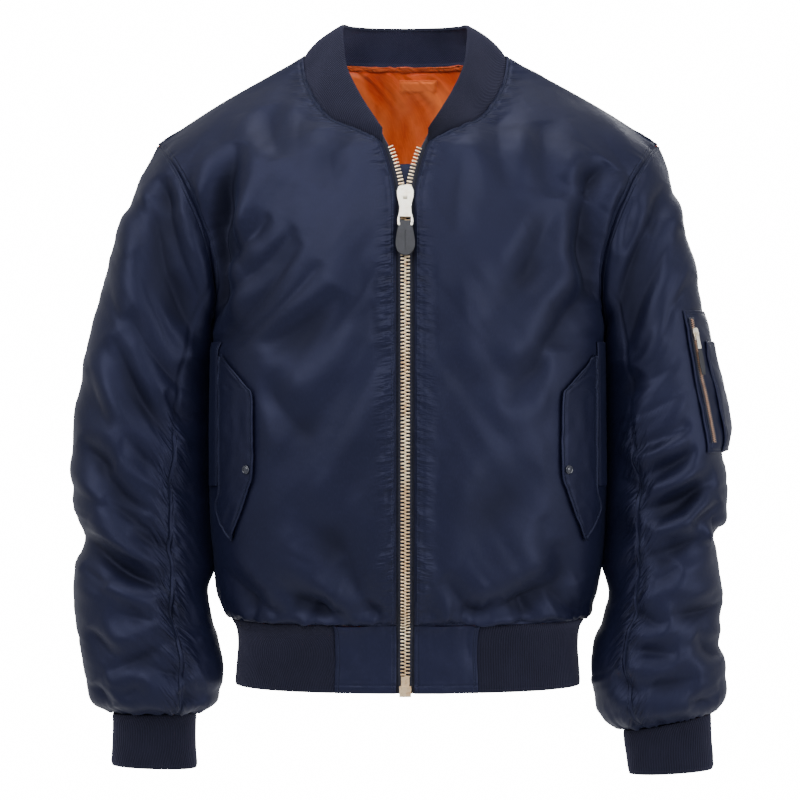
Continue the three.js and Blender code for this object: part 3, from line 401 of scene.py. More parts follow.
def fold_depth(folds, x, z):
    """Depth that the folds press into the cloth, as seen from the front at x and z."""
    depth = np.zeros_like(x)
    for from_x, from_z, to_x, to_z, deep, width, power in zip(*folds.values()):
        along_x, along_z = to_x - from_x, to_z - from_z
        t = ((x - from_x) * along_x + (z - from_z) * along_z) / (along_x ** 2 + along_z ** 2)
        length = math.hypot(along_x, along_z)
        bow = 0.05 * length * np.sin(math.pi * np.clip(t, 0, 1))
        across = (-(x - from_x) * along_z + (z - from_z) * along_x) / length + bow
        reach = np.abs(across) / width
        profile = np.exp(-(reach ** power)) - 0.35 * gauss(reach - 1.9)
        taper = np.sin(math.pi * np.clip(t, 0, 1)) ** 0.7
        depth += deep * taper * profile * (t > 0) * (t < 1)
    return depth


def noise(p, q, seed):
    """Smooth noise between -1 and 1 that repeats every 64 steps."""
    lattice = np.random.RandomState(seed).uniform(-1, 1, (64, 64))
    i, j = np.floor(p).astype(int), np.floor(q).astype(int)
    a, b = smooth(p - i), smooth(q - j)
    corner = lambda di, dj: lattice[(i + di) % 64, (j + dj) % 64]
    return mix(mix(corner(0, 0), corner(1, 0), a), mix(corner(0, 1), corner(1, 1), a), b)


def crumple(p, q, size, seed, wander=0.7):
    """Creased noise as depth: soft humps between narrow valleys."""
    wander = wander * noise(p / size / 1.7, q / size / 1.7, seed + 1)
    value = noise(p / size + wander, q / size - wander, seed)
    return 0.6 - 2 * np.sqrt(value ** 2 + 0.01) + 0.5 * noise(p / size * 2.1, q / size * 2.1, seed + 2)


def pucker(along, away, pitch, reach, seed):
    """Gathers beside a row of stitches: 1 at the bottom of a dip, fading away from the row."""
    slant = along + 0.35 * away * noise(along / (6 * pitch), away / 30, seed + 3)
    wave = noise(slant / pitch, 0 * slant + 0.5, seed) + 0.6 * noise(slant / pitch * 2.2, away / 25, seed + 1)
    length = reach * (1 + 0.5 * noise(along / (2.5 * pitch), 0 * along, seed + 2))
    return wave * np.exp(-np.abs(away) / length)


# Forms of the panels: each gives points for u across and v up or along
def neck_seam(t):
    """Neckline: t is 0 at the centre back, 1 at the wearer's left end and -1 at the right end."""
    s = section(NECK, np.abs(t))
    return place(np.sign(t) * s.seamX, s.seamY, s.seamZ)


def collar_top(t):
    s = section(NECK, np.abs(t))
    return place(np.sign(t) * s.topX, s.topY, s.topZ)


def section_angle(x, wide):
    return np.arcsin(np.clip(x / wide, 0, 1) ** (SECTION_POWER / 2))


def shoulder_seam(side, along):
    tip = np.array([side * FRONT["sideX"][-1] + BODY_LEAN, 0, FRONT["sideZ"][-1]])
    return closer(neck_seam(side * NECK_SHOULDER + 0 * along), tip, along)


def front_form(side, u, v):
    u, v = np.broadcast_arrays(np.asarray(u, float), np.asarray(v, float))
    s = section(FRONT, v)
    start = section_angle(s.zipX, s.wide)
    angle = mix(start, section_angle(s.sideX, s.wide), u)
    x = s.wide * signed_power(np.sin(angle), 2 / SECTION_POWER)
    y = -s.deep * signed_power(np.cos(angle), 2 / SECTION_POWER)
    spot = place(side * x + BODY_LEAN * u, y, mix(s.zipZ, s.sideZ, np.clip(u, 0, 2) ** 1.3))
    rise = np.clip((v - FRONT_NECK) / (1 - FRONT_NECK), 0, 1) ** 4
    edge = place(side * s.zipX, -s.deep * np.cos(start) ** (2 / SECTION_POWER), s.zipZ)
    edge = closer(edge, shoulder_seam(side, 0 * u), rise)
    spot = closer(spot, shoulder_seam(side, u), rise)
    turn = mix(1, NECK_SHOULDER, (v - FRONT_NECK) / (1 - FRONT_NECK))
    drift = (neck_seam(side * np.clip(turn, 0, 1)) - edge) * np.clip(1 - u, 0, 1)[..., None] ** 3
    return spot + drift * (v > FRONT_NECK)[..., None]


def back_form(u, v):
    u, v = np.broadcast_arrays(np.asarray(u, float), np.asarray(v, float))
    s = section(BACK, v)
    across = 2 * u - 1
    side, reach = np.sign(across), np.abs(across)
    angle = reach * section_angle(s.sideX, s.wide)
    x = s.wide * signed_power(np.sin(angle), 2 / SECTION_POWER)
    y = s.deep * signed_power(np.cos(angle), 2 / SECTION_POWER)
    spot = place(side * x + BODY_LEAN * reach, y, mix(s.midZ, s.sideZ, reach ** 1.6))
    on_neck = reach <= NECK_SHOULDER
    neck = neck_seam(side * np.minimum(reach, NECK_SHOULDER))
    seam = np.where(side[..., None] < 0,
                    shoulder_seam(RIGHT, np.clip((reach - NECK_SHOULDER) / (1 - NECK_SHOULDER), 0, 1)),
                    shoulder_seam(LEFT, np.clip((reach - NECK_SHOULDER) / (1 - NECK_SHOULDER), 0, 1)))
    top = np.where(on_neck[..., None], neck, seam)
    rise = np.clip((v - BACK_YOKE) / (1 - BACK_YOKE), 0, 1) ** 2.5
    return closer(spot, top, rise)


def armhole(side):
    """Armhole from the shoulder down the front, under the arm and up the back."""
    steps = np.linspace(0, 1, 97)
    down = front_form(side, 1, mix(1, UNDERARM, steps))
    up = back_form((1 + side) / 2, mix(UNDERARM, 1, steps))
    return np.concatenate([down, up[1:]])


ARMHOLES = {side: armhole(side) for side in (RIGHT, LEFT)}


def armhole_at(side, turn):
    points = ARMHOLES[side]
    at = (turn % 1) * (len(points) - 1)
    low = np.minimum(np.floor(at).astype(int), len(points) - 2)
    return closer(points[low], points[low + 1], at - low)


def ring(side, s, angle):
    outward = signed_power(np.cos(angle), 0.92)
    return place(side * (mix(s.inX, s.outX, 0.5) + (s.outX - s.inX) / 2 * outward),
                 s.midY - s.deep * signed_power(np.sin(angle), 0.92),
                 mix(s.inZ, s.outZ, 0.5) + (s.outZ - s.inZ) / 2 * outward)


def sleeve_form(side, turn, v):
    """Turn is 0 on the outer edge, 0.25 in front and 0.5 on the inner edge; v is 1 at the cuff."""
    turn, v = np.broadcast_arrays(np.asarray(turn, float), np.asarray(v, float))
    angle = 2 * math.pi * turn
    rows = SLEEVES[side]
    into_body = np.maximum(-v, 0)[..., None] * SLEEVE_LONG * np.array([-0.98 * side, 0, 0.0])
    spot = ring(side, section(rows, v), angle) + into_body
    shift = armhole_at(side, turn) - ring(side, section(rows, 0 * v), angle)
    return spot + shift * (1 - smooth(v / CAP_LENGTH))[..., None]


def ring_middle(rows, side, v):
    s = section(rows, v)
    return place(side * (s.inX + s.outX) / 2, s.midY, (s.inZ + s.outZ) / 2)


def hem_form(turn, v):
    s = section(HEM, v)
    sine, cosine = np.sin(2 * math.pi * turn), np.cos(2 * math.pi * turn)
    x = s.wide * signed_power(sine, 2 / SECTION_POWER)
    deep = np.where(cosine > 0, s.front, s.back)
    return place(x + BODY_LEAN * np.clip(np.abs(x) / s.wide, 0, 1),
                 -deep * signed_power(cosine, 2 / SECTION_POWER), s.z)


HEM_WIDE = HEM["wide"][2]
PANEL_TURN = float(section_angle(HEM_PANEL_HALF, HEM_WIDE)) / (2 * math.pi)
ZIP_TURN = float(section_angle(FRONT["zipX"][0], HEM_WIDE)) / (2 * math.pi)
HEM_SHARE = 0.12


def zip_edge(v):
    """Path of the front edge beside the zip, from the hem (0) up to the neckline (1)."""
    v = np.asarray(v, float)
    low = hem_form(ZIP_TURN + 0 * v, np.clip(1 - v / HEM_SHARE, 0, 1))
    high = front_form(LEFT, 0, np.clip((v - HEM_SHARE) / (1 - HEM_SHARE), 0, 1) * FRONT_NECK)
    edge = np.where((v < HEM_SHARE)[..., None], low, high)
    edge[..., 0] = np.maximum(edge[..., 0], FRONT["zipX"][0])
    return edge


def zip_inward(v):
    along = zip_edge(np.minimum(v + 0.01, 1)) - zip_edge(np.maximum(v - 0.01, 0))
    return unit(place(0, along[..., 2], -along[..., 1]))


def beside_zip(side, v, out, behind):
    """Beside the zip: so far outside the front edge, and so far behind its face."""
    edge = zip_edge(v)
    spot = place(side * (edge[..., 0] + out), edge[..., 1], edge[..., 2])
    return spot + zip_inward(v) * np.asarray(behind)[..., None]


def body_middle(points):
    return place(0, 0, points[..., 2] - 90)


def slopes(form, u, v, step=2e-3):
    """Unit normal of a form, on either of its two sides."""
    across = form(u + step, v) - form(u - step, v)
    up = form(u, np.minimum(v + step, 1)) - form(u, np.maximum(v - step, 0))
    return unit(np.cross(across, up))


def outward(form, u, v, middle):
    """Unit normal of a form, on the side away from the middle."""
    normal = slopes(form, u, v)
    facing = np.sum(normal * (form(u, v) - middle), -1, keepdims=True)
    return np.where(facing < 0, -normal, normal)


def settle(form, x, z, start=(0.75, 0.4)):
    """Where a form reaches x and z, found by stepping towards them."""
    u, v = start[0] + 0 * x, start[1] + 0 * x
    h = 1e-3
    for _ in range(24):
        here = form(u, v)
        du, dv = (form(u + h, v) - here) / h, (form(u, v + h) - here) / h
        determinant = du[..., 0] * dv[..., 2] - dv[..., 0] * du[..., 2]
        miss_x, miss_z = x - here[..., 0], z - here[..., 2]
        step_u = (miss_x * dv[..., 2] - dv[..., 0] * miss_z) / determinant
        step_v = (du[..., 0] * miss_z - miss_x * du[..., 2]) / determinant
        u = np.clip(u + np.clip(step_u, -0.1, 0.1), 0, 0.995)
        v = np.clip(v + np.clip(step_v, -0.1, 0.1), 0, 0.995)
    return u, v


# Materials
class Amount:
    """One output socket of a material: its operators add Math nodes."""

    def __init__(self, finish, socket):
        self.finish, self.socket = finish, socket

    def math(self, operation, *values):
        return self.finish.node("ShaderNodeMath", {"operation": operation}, dict(enumerate(values)))

    def __add__(self, other):
        return self.math("ADD", self, other)

    def __sub__(self, other):
        return self.math("SUBTRACT", self, other)

    def __rsub__(self, other):
        return self.math("SUBTRACT", other, self)

    def __mul__(self, other):
        return self.math("MULTIPLY", self, other)

    def __truediv__(self, other):
        return self.math("DIVIDE", self, other)

    __radd__, __rmul__ = __add__, __mul__

    def sine(self):
        return self.math("SINE", self)

    def fraction(self):
        return self.math("FRACT", self)

    def size(self):
        return self.math("ABSOLUTE", self)

    def within(self, low, high):
        """0 at low, rising smoothly to 1 at high."""
        values = {"Value": self, "From Min": low, "From Max": high}
        return self.finish.node("ShaderNodeMapRange", {"interpolation_type": "SMOOTHSTEP"}, values)


class Finish:
    """A material with one Principled surface, whose other nodes are added one by one."""

    def __init__(self, name, **settings):
        self.material = bpy.data.materials.new(name)
        self.material.use_nodes = True
        self.nodes = self.material.node_tree.nodes
        self.links = self.material.node_tree.links
        self.surface = self.nodes["Principled BSDF"]
        for key, value in settings.items():
            self.surface.inputs[key.replace("_", " ")].default_value = value

    def node(self, kind, settings=None, values=None, output=0):
        made = self.nodes.new(kind)
        for key, value in (settings or {}).items():
            setattr(made, key, value)
        self.fill(made, values or {})
        return Amount(self, made.outputs[output])

    def fill(self, made, values):
        for key, value in values.items():
            if isinstance(value, Amount):
                self.links.new(value.socket, made.inputs[key])
            else:
                made.inputs[key].default_value = value

    def blend(self, share, first, second):
        """Colour from first to second."""
        made = self.nodes.new("ShaderNodeMix")
        made.data_type = "RGBA"
        self.fill(made, {"Factor": share})
        for socket, colour in ((made.inputs[6], first), (made.inputs[7], second)):
            if isinstance(colour, Amount):
                self.links.new(colour.socket, socket)
            else:
                socket.default_value = (*colour, 1)
        return Amount(self, made.outputs[2])

    def uv(self, name):
        """Both coordinates of a UV map, in millimetres."""
        spot = self.node("ShaderNodeUVMap", {"uv_map": name})
        split = self.node("ShaderNodeSeparateXYZ", None, {0: spot})
        return split * 1000, Amount(self, split.socket.node.outputs[1]) * 1000

    def spot(self):
        return self.node("ShaderNodeTexCoord", output=3)

    def noise(self, spot, scale, detail=3.0, roughness=0.55):
        values = {"Vector": spot, "Scale": scale, "Detail": detail, "Roughness": roughness}
        return self.node("ShaderNodeTexNoise", None, values)

    def vector(self, x, y, z=0.0):
        return self.node("ShaderNodeCombineXYZ", None, {0: x, 1: y, 2: z})

    def paint(self, colour, roughness=None, bumps=()):
        """Links the surface: colour, roughness, and bumps as (height, distance in metres) pairs."""
        self.links.new(colour.socket, self.surface.inputs["Base Color"])
        if roughness is not None:
            self.links.new(roughness.socket, self.surface.inputs["Roughness"])
        normal = None
        for height, distance in bumps:
            values = {"Height": height, "Distance": distance, "Strength": 1.0}
            if normal is not None:
                values["Normal"] = normal
            normal = self.node("ShaderNodeBump", None, values)
        if normal is not None:
            self.links.new(normal.socket, self.surface.inputs["Normal"])
        return self.material


def navy_satin(name, stitched=True):
    """Dense satin nylon: fine twill weave, small crumples, and gathers and topstitching by its seams.
    Painted shade darkens its fold valleys, the grooves beside its stitches and the valleys of its gathers.
    """
    cloth = Finish(name, Specular_IOR_Level=0.30, Specular_Tint=(0.56, 0.60, 1.0, 1), Sheen_Weight=0.03,
                   Sheen_Roughness=0.4, Sheen_Tint=(0.4, 0.5, 0.95, 1))
    x, y = cloth.uv("cloth")
    spot = cloth.spot()
    weave = ((x + y) * (2 * math.pi / 1.1)).sine() * 0.5 + ((x - y) * (2 * math.pi / 2.3)).sine() * 0.2
    small = cloth.noise(spot, 95, 4, 0.6)
    broad = cloth.noise(spot, 14, 3)
    grain = cloth.noise(cloth.vector(x * 0.9, y * 0.22), 1.0, 2)
    colour = cloth.blend(broad.within(0.3, 0.7), (0.0023, 0.0029, 0.0108), (0.0034, 0.0042, 0.0148))
    colour = cloth.blend(grain.within(0.45, 0.75) * 0.5, colour, (0.0068, 0.0080, 0.0240))
    # Painted shade: the satin is darkened where its relief sinks deep into a fold valley.
    pressed = cloth.uv("relief")[0]
    colour = cloth.blend(pressed.within(2, 11) * 0.8, colour, (0.0008, 0.0010, 0.0040))
    bumps = [(small, 0.0003), (weave, 0.00002)]
    if stitched:
        along, away = cloth.uv("seam")
        row = 1 - ((away - 3.4).size() / 0.5).within(0.6, 1.0)
        dash = 1 - ((((along / 2.9).fraction()) - 0.5).size()).within(0.34, 0.44)
        thread = row * dash
        dip = 1 - ((away - 3.4).size() / 1.8).within(0.2, 1.0)
        line, off = cloth.uv("gather")
        gather = cloth.noise(cloth.vector(line / 6.5 + off * 0.03, off / 22), 1.0, 2)
        patchy = cloth.noise(cloth.vector(line / 42, off / 60), 1.0, 2).within(0.36, 0.6)
        beside = (1 - off.within(3, 27)) * (off / 3).within(0.4, 1.0) * (patchy * 0.65 + 0.35)
        # Painted shade: the groove beside the topstitching is darkened.
        colour = cloth.blend(dip * 0.5, colour, (0.0008, 0.0012, 0.0044))
        # Painted shade: the valleys of the gathers beside the seams are darkened.
        colour = cloth.blend((1 - gather.within(0.36, 0.5)) * beside * 0.75, colour, (0.0008, 0.0010, 0.0040))
        colour = cloth.blend(thread * 0.8, colour, (0.010, 0.013, 0.034))
        bumps += [(dip * -1.0, 0.0006), (thread, 0.00035), (gather * beside, 0.0060)]
    return cloth.paint(colour, 0.44 + grain * 0.08 + small * 0.06 + pressed.within(1, 8) * 0.15, bumps)


CHANNEL_DEEP = 9


def orange_lining(name):
    """Bright satin lining with a fine weave, gathered into the channel below the collar.
    Painted highlight lightens its fold ridges, and painted shade darkens its fold and gather valleys.
    """
    cloth = Finish(name, Specular_IOR_Level=0.35, Sheen_Weight=0.25, Sheen_Roughness=0.5,
                   Sheen_Tint=(1.0, 0.62, 0.4, 1))
    x, y = cloth.uv("cloth")
    spot = cloth.spot()
    soft = cloth.noise(spot, 60, 3)
    weave = ((x + y) * (2 * math.pi / 1.2)).sine() * 0.5
    grain = cloth.noise(cloth.vector(x * 0.7, y * 0.12), 1.0, 2)
    # Painted light and shade: fold ridges are painted brighter orange, and fold valleys deep red.
    fold_height_for_painted_light = cloth.uv("relief")[0]
    colour = cloth.blend(fold_height_for_painted_light.within(-0.5, 4.0), (0.66, 0.046, 0.004), (1.0, 0.215, 0.046))
    colour = cloth.blend(grain.within(0.35, 0.7) * 0.3, colour, (1.0, 0.190, 0.038))
    line, off = cloth.uv("gather")
    shirred = 1 - off.within(CHANNEL_DEEP - 1, CHANNEL_DEEP + 1)
    hanging = (1 - off.within(12, 110)) * (1 - shirred)
    tight = cloth.noise(cloth.vector(line / 3.6, off / 60), 1.0, 1)
    long = cloth.noise(cloth.vector(line / 17, off / 70), 1.0, 1)
    # Painted shade: the valleys of the shirred channel and of the hanging folds below it are darkened.
    colour = cloth.blend((1 - tight.within(0.36, 0.56)) * shirred * 0.5, colour, (0.50, 0.032, 0.003))
    colour = cloth.blend((1 - long.within(0.36, 0.56)) * hanging * 0.4, colour, (0.50, 0.030, 0.003))
    bumps = [(soft, 0.0008), (weave, 0.00003), (tight * shirred, 0.0036), (long * hanging, 0.0080)]
    return cloth.paint(colour, 0.40 + soft * 0.12, bumps)


def navy_rib(name, light=1.0):
    """Fine 1 x 1 rib knit: matt wales with painted shade in the valleys between them, and small stitches along
    them.
    A light above 1 makes a lighter copy of the knit, with its colours and sheen scaled up as painted light.
    """
    knit = Finish(name, Specular_IOR_Level=0.12, Sheen_Weight=0.10 * light, Sheen_Roughness=0.6,
                  Sheen_Tint=(0.6, 0.6, 1.0, 1))
    tone = lambda r, g, b: (r * light, g * light, b * light)
    x, y = knit.uv("cloth")
    spot = knit.spot()
    wale = (x * (2 * math.pi / 2.6)).sine() * 0.5 + 0.5
    loop = ((y + (x * (2 * math.pi / 1.3)).sine() * 0.22) * (2 * math.pi / 1.25)).sine() * 0.5 + 0.5
    fuzz = knit.noise(spot, 900, 2)
    patch = knit.noise(spot, 40, 3)
    # Painted shade: the valleys between the wales are darkened.
    colour = knit.blend(wale.within(0.1, 0.8), tone(0.0022, 0.0024, 0.0070), tone(0.0054, 0.0060, 0.0160))
    colour = knit.blend(patch.within(0.35, 0.7) * 0.3, colour, tone(0.0078, 0.0084, 0.0205))
    colour = knit.blend(fuzz.within(0.5, 0.8) * 0.25, colour, tone(0.011, 0.012, 0.027))
    return knit.paint(colour, 0.78 + fuzz * 0.15, [(wale, 0.00028), (loop * wale, 0.0002), (fuzz, 0.0002)])


def zip_tape(name):
    """Herringbone tape beside the zip."""
    tape = Finish(name, Specular_IOR_Level=0.25, Sheen_Weight=0.2)
    x, y = tape.uv("cloth")
    zigzag = ((x / 3.0).fraction() - 0.5).size() * 3.0
    twill = ((y + zigzag) * (2 * math.pi / 0.9)).sine() * 0.5 + 0.5
    colour = tape.blend(twill, (0.0042, 0.0052, 0.016), (0.0090, 0.0108, 0.028))
    return tape.paint(colour, 0.6 + twill * 0.15, [(twill, 0.00015)])


def worn_metal(name, bright, dull, roughness, scale=700, painted_reflection_bands=False):
    """Plated metal: polished, with faint tarnish and fine rubbed marks, and on request broad bands of painted
    reflection.
    """
    metal = Finish(name, Metallic=1.0)
    spot = metal.spot()
    tarnish = metal.noise(spot, scale / 3, 4)
    rubbed = metal.noise(spot, scale * 2, 2)
    colour = metal.blend(tarnish.within(0.45, 0.72), bright, dull)
    if painted_reflection_bands:
        # Painted reflection: broad bands of darker, browner colour stand in for the changing reflection along
        # the zip.
        reflection_band_noise = metal.noise(spot, 9, 2)
        colour = metal.blend(reflection_band_noise.within(0.42, 0.6) * 0.7, colour, (0.62, 0.40, 0.22))
    return metal.paint(colour, roughness + tarnish * 0.12 + rubbed * 0.06, [(rubbed, 0.00003)])


def charcoal_rubber(name):
    """Matt moulded pull tag and strap with a fine grain."""
    rubber = Finish(name, Specular_IOR_Level=0.4)
    spot = rubber.spot()
    grain = rubber.noise(spot, 2400, 3)
    smudge = rubber.noise(spot, 120, 3)
    colour = rubber.blend(smudge.within(0.35, 0.7), (0.013, 0.014, 0.019), (0.023, 0.024, 0.032))
    return rubber.paint(colour, 0.42 + smudge * 0.16 + grain * 0.06, [(grain, 0.00005)])


def navy_snap(name):
    """Glossy lacquered snap cap."""
    cap = Finish(name, Metallic=0.35, Coat_Weight=0.6, Coat_Roughness=0.12)
    spot = cap.spot()
    smudge = cap.noise(spot, 500, 3)
    colour = cap.blend(smudge.within(0.3, 0.7), (0.006, 0.008, 0.018), (0.012, 0.015, 0.030))
    return cap.paint(colour, 0.24 + smudge * 0.14, [(smudge, 0.00004)])


SATIN = navy_satin("navy_satin")
PLAIN_SATIN = navy_satin("navy_satin_plain", stitched=False)
LINING = orange_lining("orange_lining")
RIB = navy_rib("navy_rib")
# Painted light: the same rib knit with its colours and sheen 2.2 times lighter, for the collar's inner face.
RIB_PAINTED_LIGHTER = navy_rib("navy_rib_painted_lighter", 2.2)
TAPE = zip_tape("zip_tape")
TEETH = worn_metal("brass_teeth", (0.94, 0.80, 0.56), (0.52, 0.32, 0.17), 0.24, painted_reflection_bands=True)
ROSE_TEETH = worn_metal("rose_brass_teeth", (0.72, 0.46, 0.33), (0.42, 0.26, 0.20), 0.3)
GOLD = worn_metal("pale_gold", (0.97, 0.93, 0.82), (0.86, 0.78, 0.62), 0.2, 400)
RUBBER = charcoal_rubber("charcoal_rubber")
SNAP_CAP = navy_snap("navy_snap")


# Making cloth
def eased(t, crowd):
    """Spreads 0 to 1 so that it is crowded at both ends."""
    return t - crowd * np.sin(2 * math.pi * t) / (2 * math.pi)


def run_lengths(points, axis):
    """Length along a grid of points from its first row or column."""
    steps = np.linalg.norm(np.diff(points, axis=axis), axis=-1)
    start = np.zeros_like(points[..., 0].take([0], axis))
    return np.concatenate([start, np.cumsum(steps, axis)], axis)


class Panel:
    """One piece of cloth as a grid of points over its form, with its relief pressed in."""

    def __init__(self, form, middle, columns, rows, relief, crowd=(0, 0)):
        self.u = eased(np.linspace(0, 1, columns + 1), crowd[0])
        self.v = eased(np.linspace(0, 1, rows + 1), crowd[1])
        u, v = np.meshgrid(self.u, self.v)
        flat = form(u, v)
        self.normal = outward(form, u, v, middle(u, v))
        across, up = run_lengths(flat, 1), run_lengths(flat, 0)
        self.start, self.low = across, up
        self.end, self.high = across[:, -1:] - across, up[-1:] - up
        self.flat_points = flat
        self.grid_v = v
        self.grid_u = u
        self.x, self.z = flat[..., 0], flat[..., 2]
        self.depth = relief(self)
        self.points = flat - self.normal * self.depth[..., None]

    def area(self):
        """Area of the cloth in square metres."""
        p = self.flat_points * MM
        a, b = p[1:, 1:] - p[:-1, :-1], p[1:, :-1] - p[:-1, 1:]
        return float(np.linalg.norm(np.cross(a, b), axis=-1).sum() / 2)

    def read(self, values, u, v):
        """Values of the grid at any u and v."""
        i = np.clip(np.interp(u, self.u, np.arange(len(self.u))), 0, len(self.u) - 1.001)
        j = np.clip(np.interp(v, self.v, np.arange(len(self.v))), 0, len(self.v) - 1.001)
        a, b = np.floor(i).astype(int), np.floor(j).astype(int)
        f, g = i - a, j - b
        if values.ndim == 3:
            f, g = f[..., None], g[..., None]
        return mix(mix(values[b, a], values[b, a + 1], f), mix(values[b + 1, a], values[b + 1, a + 1], f), g)


def no_relief(panel):
    return np.zeros_like(panel.x)


def edge_roll(away, deep=1.1, reach=1.6):
    """Cloth turns down into a seam."""
    return deep * gauss(away / reach)


def piece(name, mesh, slot, nodes=(), body="jacket"):
    """Adds a finished mesh as a piece of the jacket."""
    made = bpy.data.objects.new(name, mesh)
    bpy.context.scene.collection.objects.link(made)
    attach(made, body)
    if nodes:
        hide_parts(*nodes)
    return made


def cloth(name, panel, finish, slot, nodes=(), wall=SATIN_WALL, inside=None, seams=("start", "end"),
          closed=False, soft_edge=0.0, cut=None, held="hung", gathers=None):
    """Makes a panel's mesh, with UV maps for its weave, topstitching, gathers and relief, and its wall.
    The materials read the relief map to paint shade into fold valleys, and highlight onto the lining's fold
    ridges.
    """
    columns, rows = len(panel.u) - 1, len(panel.v) - 1
    shell = bmesh.new()
    bmesh.ops.create_grid(shell, x_segments=columns, y_segments=rows, size=0.5)
    shell.verts.ensure_lookup_table()
    spots = np.array([v.co[:] for v in shell.verts])
    i = np.rint((spots[:, 0] + 0.5) * columns).astype(int)
    j = np.rint((spots[:, 1] + 0.5) * rows).astype(int)
    mesh = bpy.data.meshes.new(name)
    shell.to_mesh(mesh)
    shell.free()
    mesh.vertices.foreach_set("co", (panel.points[j, i] * MM).ravel())
    corner = np.zeros(len(mesh.loops), dtype=int)
    mesh.loops.foreach_get("vertex_index", corner)
    edges = {"start": panel.start, "end": panel.end, "low": panel.low, "high": panel.high}
    sides = [edges[edge] for edge in seams] or [panel.start + 1e3]
    lines = [panel.low if edge in ("start", "end") else panel.start for edge in seams] or [panel.low]
    nearest = np.argmin(np.stack(sides), 0)
    away = np.take_along_axis(np.stack(sides), nearest[None], 0)[0]
    along = np.take_along_axis(np.stack(lines), nearest[None], 0)[0]
    line, off = gathers or (panel.low, 1000 + 0 * panel.low)
    # The relief map carries the depth that the materials turn into painted shade and painted highlight.
    for layer, pair in (("cloth", (panel.start, panel.low)), ("seam", (along, away)), ("gather", (line, off)),
                        ("relief", (panel.depth, 0 * panel.depth))):
        coordinates = np.stack(pair, -1)[j, i] * MM
        mesh.uv_layers.new(name=layer).data.foreach_set("uv", coordinates[corner].ravel())
    shell = bmesh.new()
    shell.from_mesh(mesh)
    if closed:
        border = [v for v in shell.verts if v.is_boundary]
        bmesh.ops.remove_doubles(shell, verts=border, dist=1e-5)
    shell.faces.ensure_lookup_table()
    middle = shell.faces[len(shell.faces) // 2]
    if closed:
        bmesh.ops.recalc_face_normals(shell, faces=shell.faces)
    elif np.dot(middle.normal, panel.normal[j, i][middle.verts[0].index]) < 0:
        bmesh.ops.reverse_faces(shell, faces=shell.faces)
    shell.to_mesh(mesh)
    shell.free()
    mesh.shade_smooth()
    mesh.materials.append(finish)
    mesh.materials.append(inside or finish)
    made = piece(name, mesh, slot, nodes)
    solid = made.modifiers.new("wall", "SOLIDIFY")
    solid.thickness = wall * MM
    solid.offset = -1
    solid.material_offset = 1 if inside else 0
    if soft_edge:
        rounding = made.modifiers.new("edge", "BEVEL")
        rounding.width = soft_edge * MM
        rounding.segments = 3
        rounding.limit_method = "ANGLE"
        rounding.angle_limit = math.radians(50)
    if cut:
        area = min(panel.area() * 1.04, 0.99 * cut[0] * cut[1])
        max(area, 0.31 * cut[0] * cut[1])
    return made


# Fronts
FLAP = table("z welt free", [
    [-502, 178, 175],
    [-486, 189, 169.5],
    [-470, 195, 163],
    [-452, 190.5, 157],
    [-434, 190.5, 151.5],
    [-393, 190.5, 151],
    [-356, 190.5, 152],
    [-346, 190.5, 158],
    [-330, 190.5, 172],
    [-315, 190, 186],
])
WELT = SimpleNamespace(from_x=191.6, to_x=202, low_z=-448, high_z=-300)


def under_flap(x, z):
    """1 below the pocket flap, fading to 0 a little way from it."""
    beyond_x = np.maximum(0, 150 - np.abs(x)) / 16
    beyond_z = np.maximum(0, np.abs(z + 405) - 92) / 14
    return np.clip(1 - np.hypot(beyond_x, beyond_z), 0, 1)


def front_relief(side):
    def relief(p):
        x, z = p.x, p.z
        lap = (p.start + p.end) * LAP / (1 + LAP)
        p.end = p.end - lap
        fade = smooth(p.start / 26) * smooth(p.end / 14) * smooth(p.low / 16) * smooth(p.high / 20)
        held = 1 - 0.85 * smooth(under_flap(x, z))
        depth = fade * held * fold_depth(FRONT_FOLDS, x, z)
        calm = held * smooth(p.start / 14) * smooth(p.low / 8)
        seed = 40 + side
        lean = 0.62
        across = np.abs(x) * math.cos(lean) + z * math.sin(lean)
        down = z * math.cos(lean) - np.abs(x) * math.sin(lean)
        calm = calm * smooth(p.high / 22)
        depth += calm * 1.1 * crumple(across + 900, 0.17 * down + 900, 32, seed, 0.3)
        depth += calm * 0.25 * crumple(across + 900, 0.3 * down + 900, 12, seed + 5, 0.4)
        on_zip = p.grid_u * 0 + (p.grid_v < FRONT_NECK + 0.02)
        tight = np.exp(-((p.start - 7) / 13) ** 2) * on_zip
        depth += 1.0 * tight * pucker(p.low, p.start - 8, 12, 24, seed + 9)
        depth += 0.5 * gauss((p.start - 8.5) / 1.3) * on_zip
        beside_neck = (p.grid_v > FRONT_NECK) * smooth((p.grid_v - FRONT_NECK) / 0.03)
        depth += 1.1 * beside_neck * pucker(p.low, p.start, 9, 14, seed + 13)
        depth += beside_neck * (gauss((p.start - 4.5) / 1.6) - 0.8 * gauss((p.start - 2) / 1.5))
        on_arm = (p.grid_v > UNDERARM) * smooth((p.grid_v - UNDERARM) / 0.05)
        depth += 1.3 * on_arm * pucker(p.low, p.end, 11, 16, seed + 17) * smooth(p.end / 2)
        depth += 5.0 * smooth(p.low / 3) * pucker(p.start, p.low, 13, 24, seed + 21)
        depth += edge_roll(p.end) + edge_roll(p.low, 2.6, 2.4) + edge_roll(p.high, 0.8) * (p.start > 8)
        overhang = 2.6 + 1.6 * noise(p.start / 24, 0 * p.low, seed + 30)
        depth -= overhang * gauss((p.low - 9) / 6.5) * smooth(p.start / 12)
        depth += 2.4 * smooth(-p.end / 2.0)
        return depth + 0.9 * gauss(p.start / 1.0) * on_zip
    return relief


def around_body(form):
    return lambda u, v: body_middle(form(u, v))


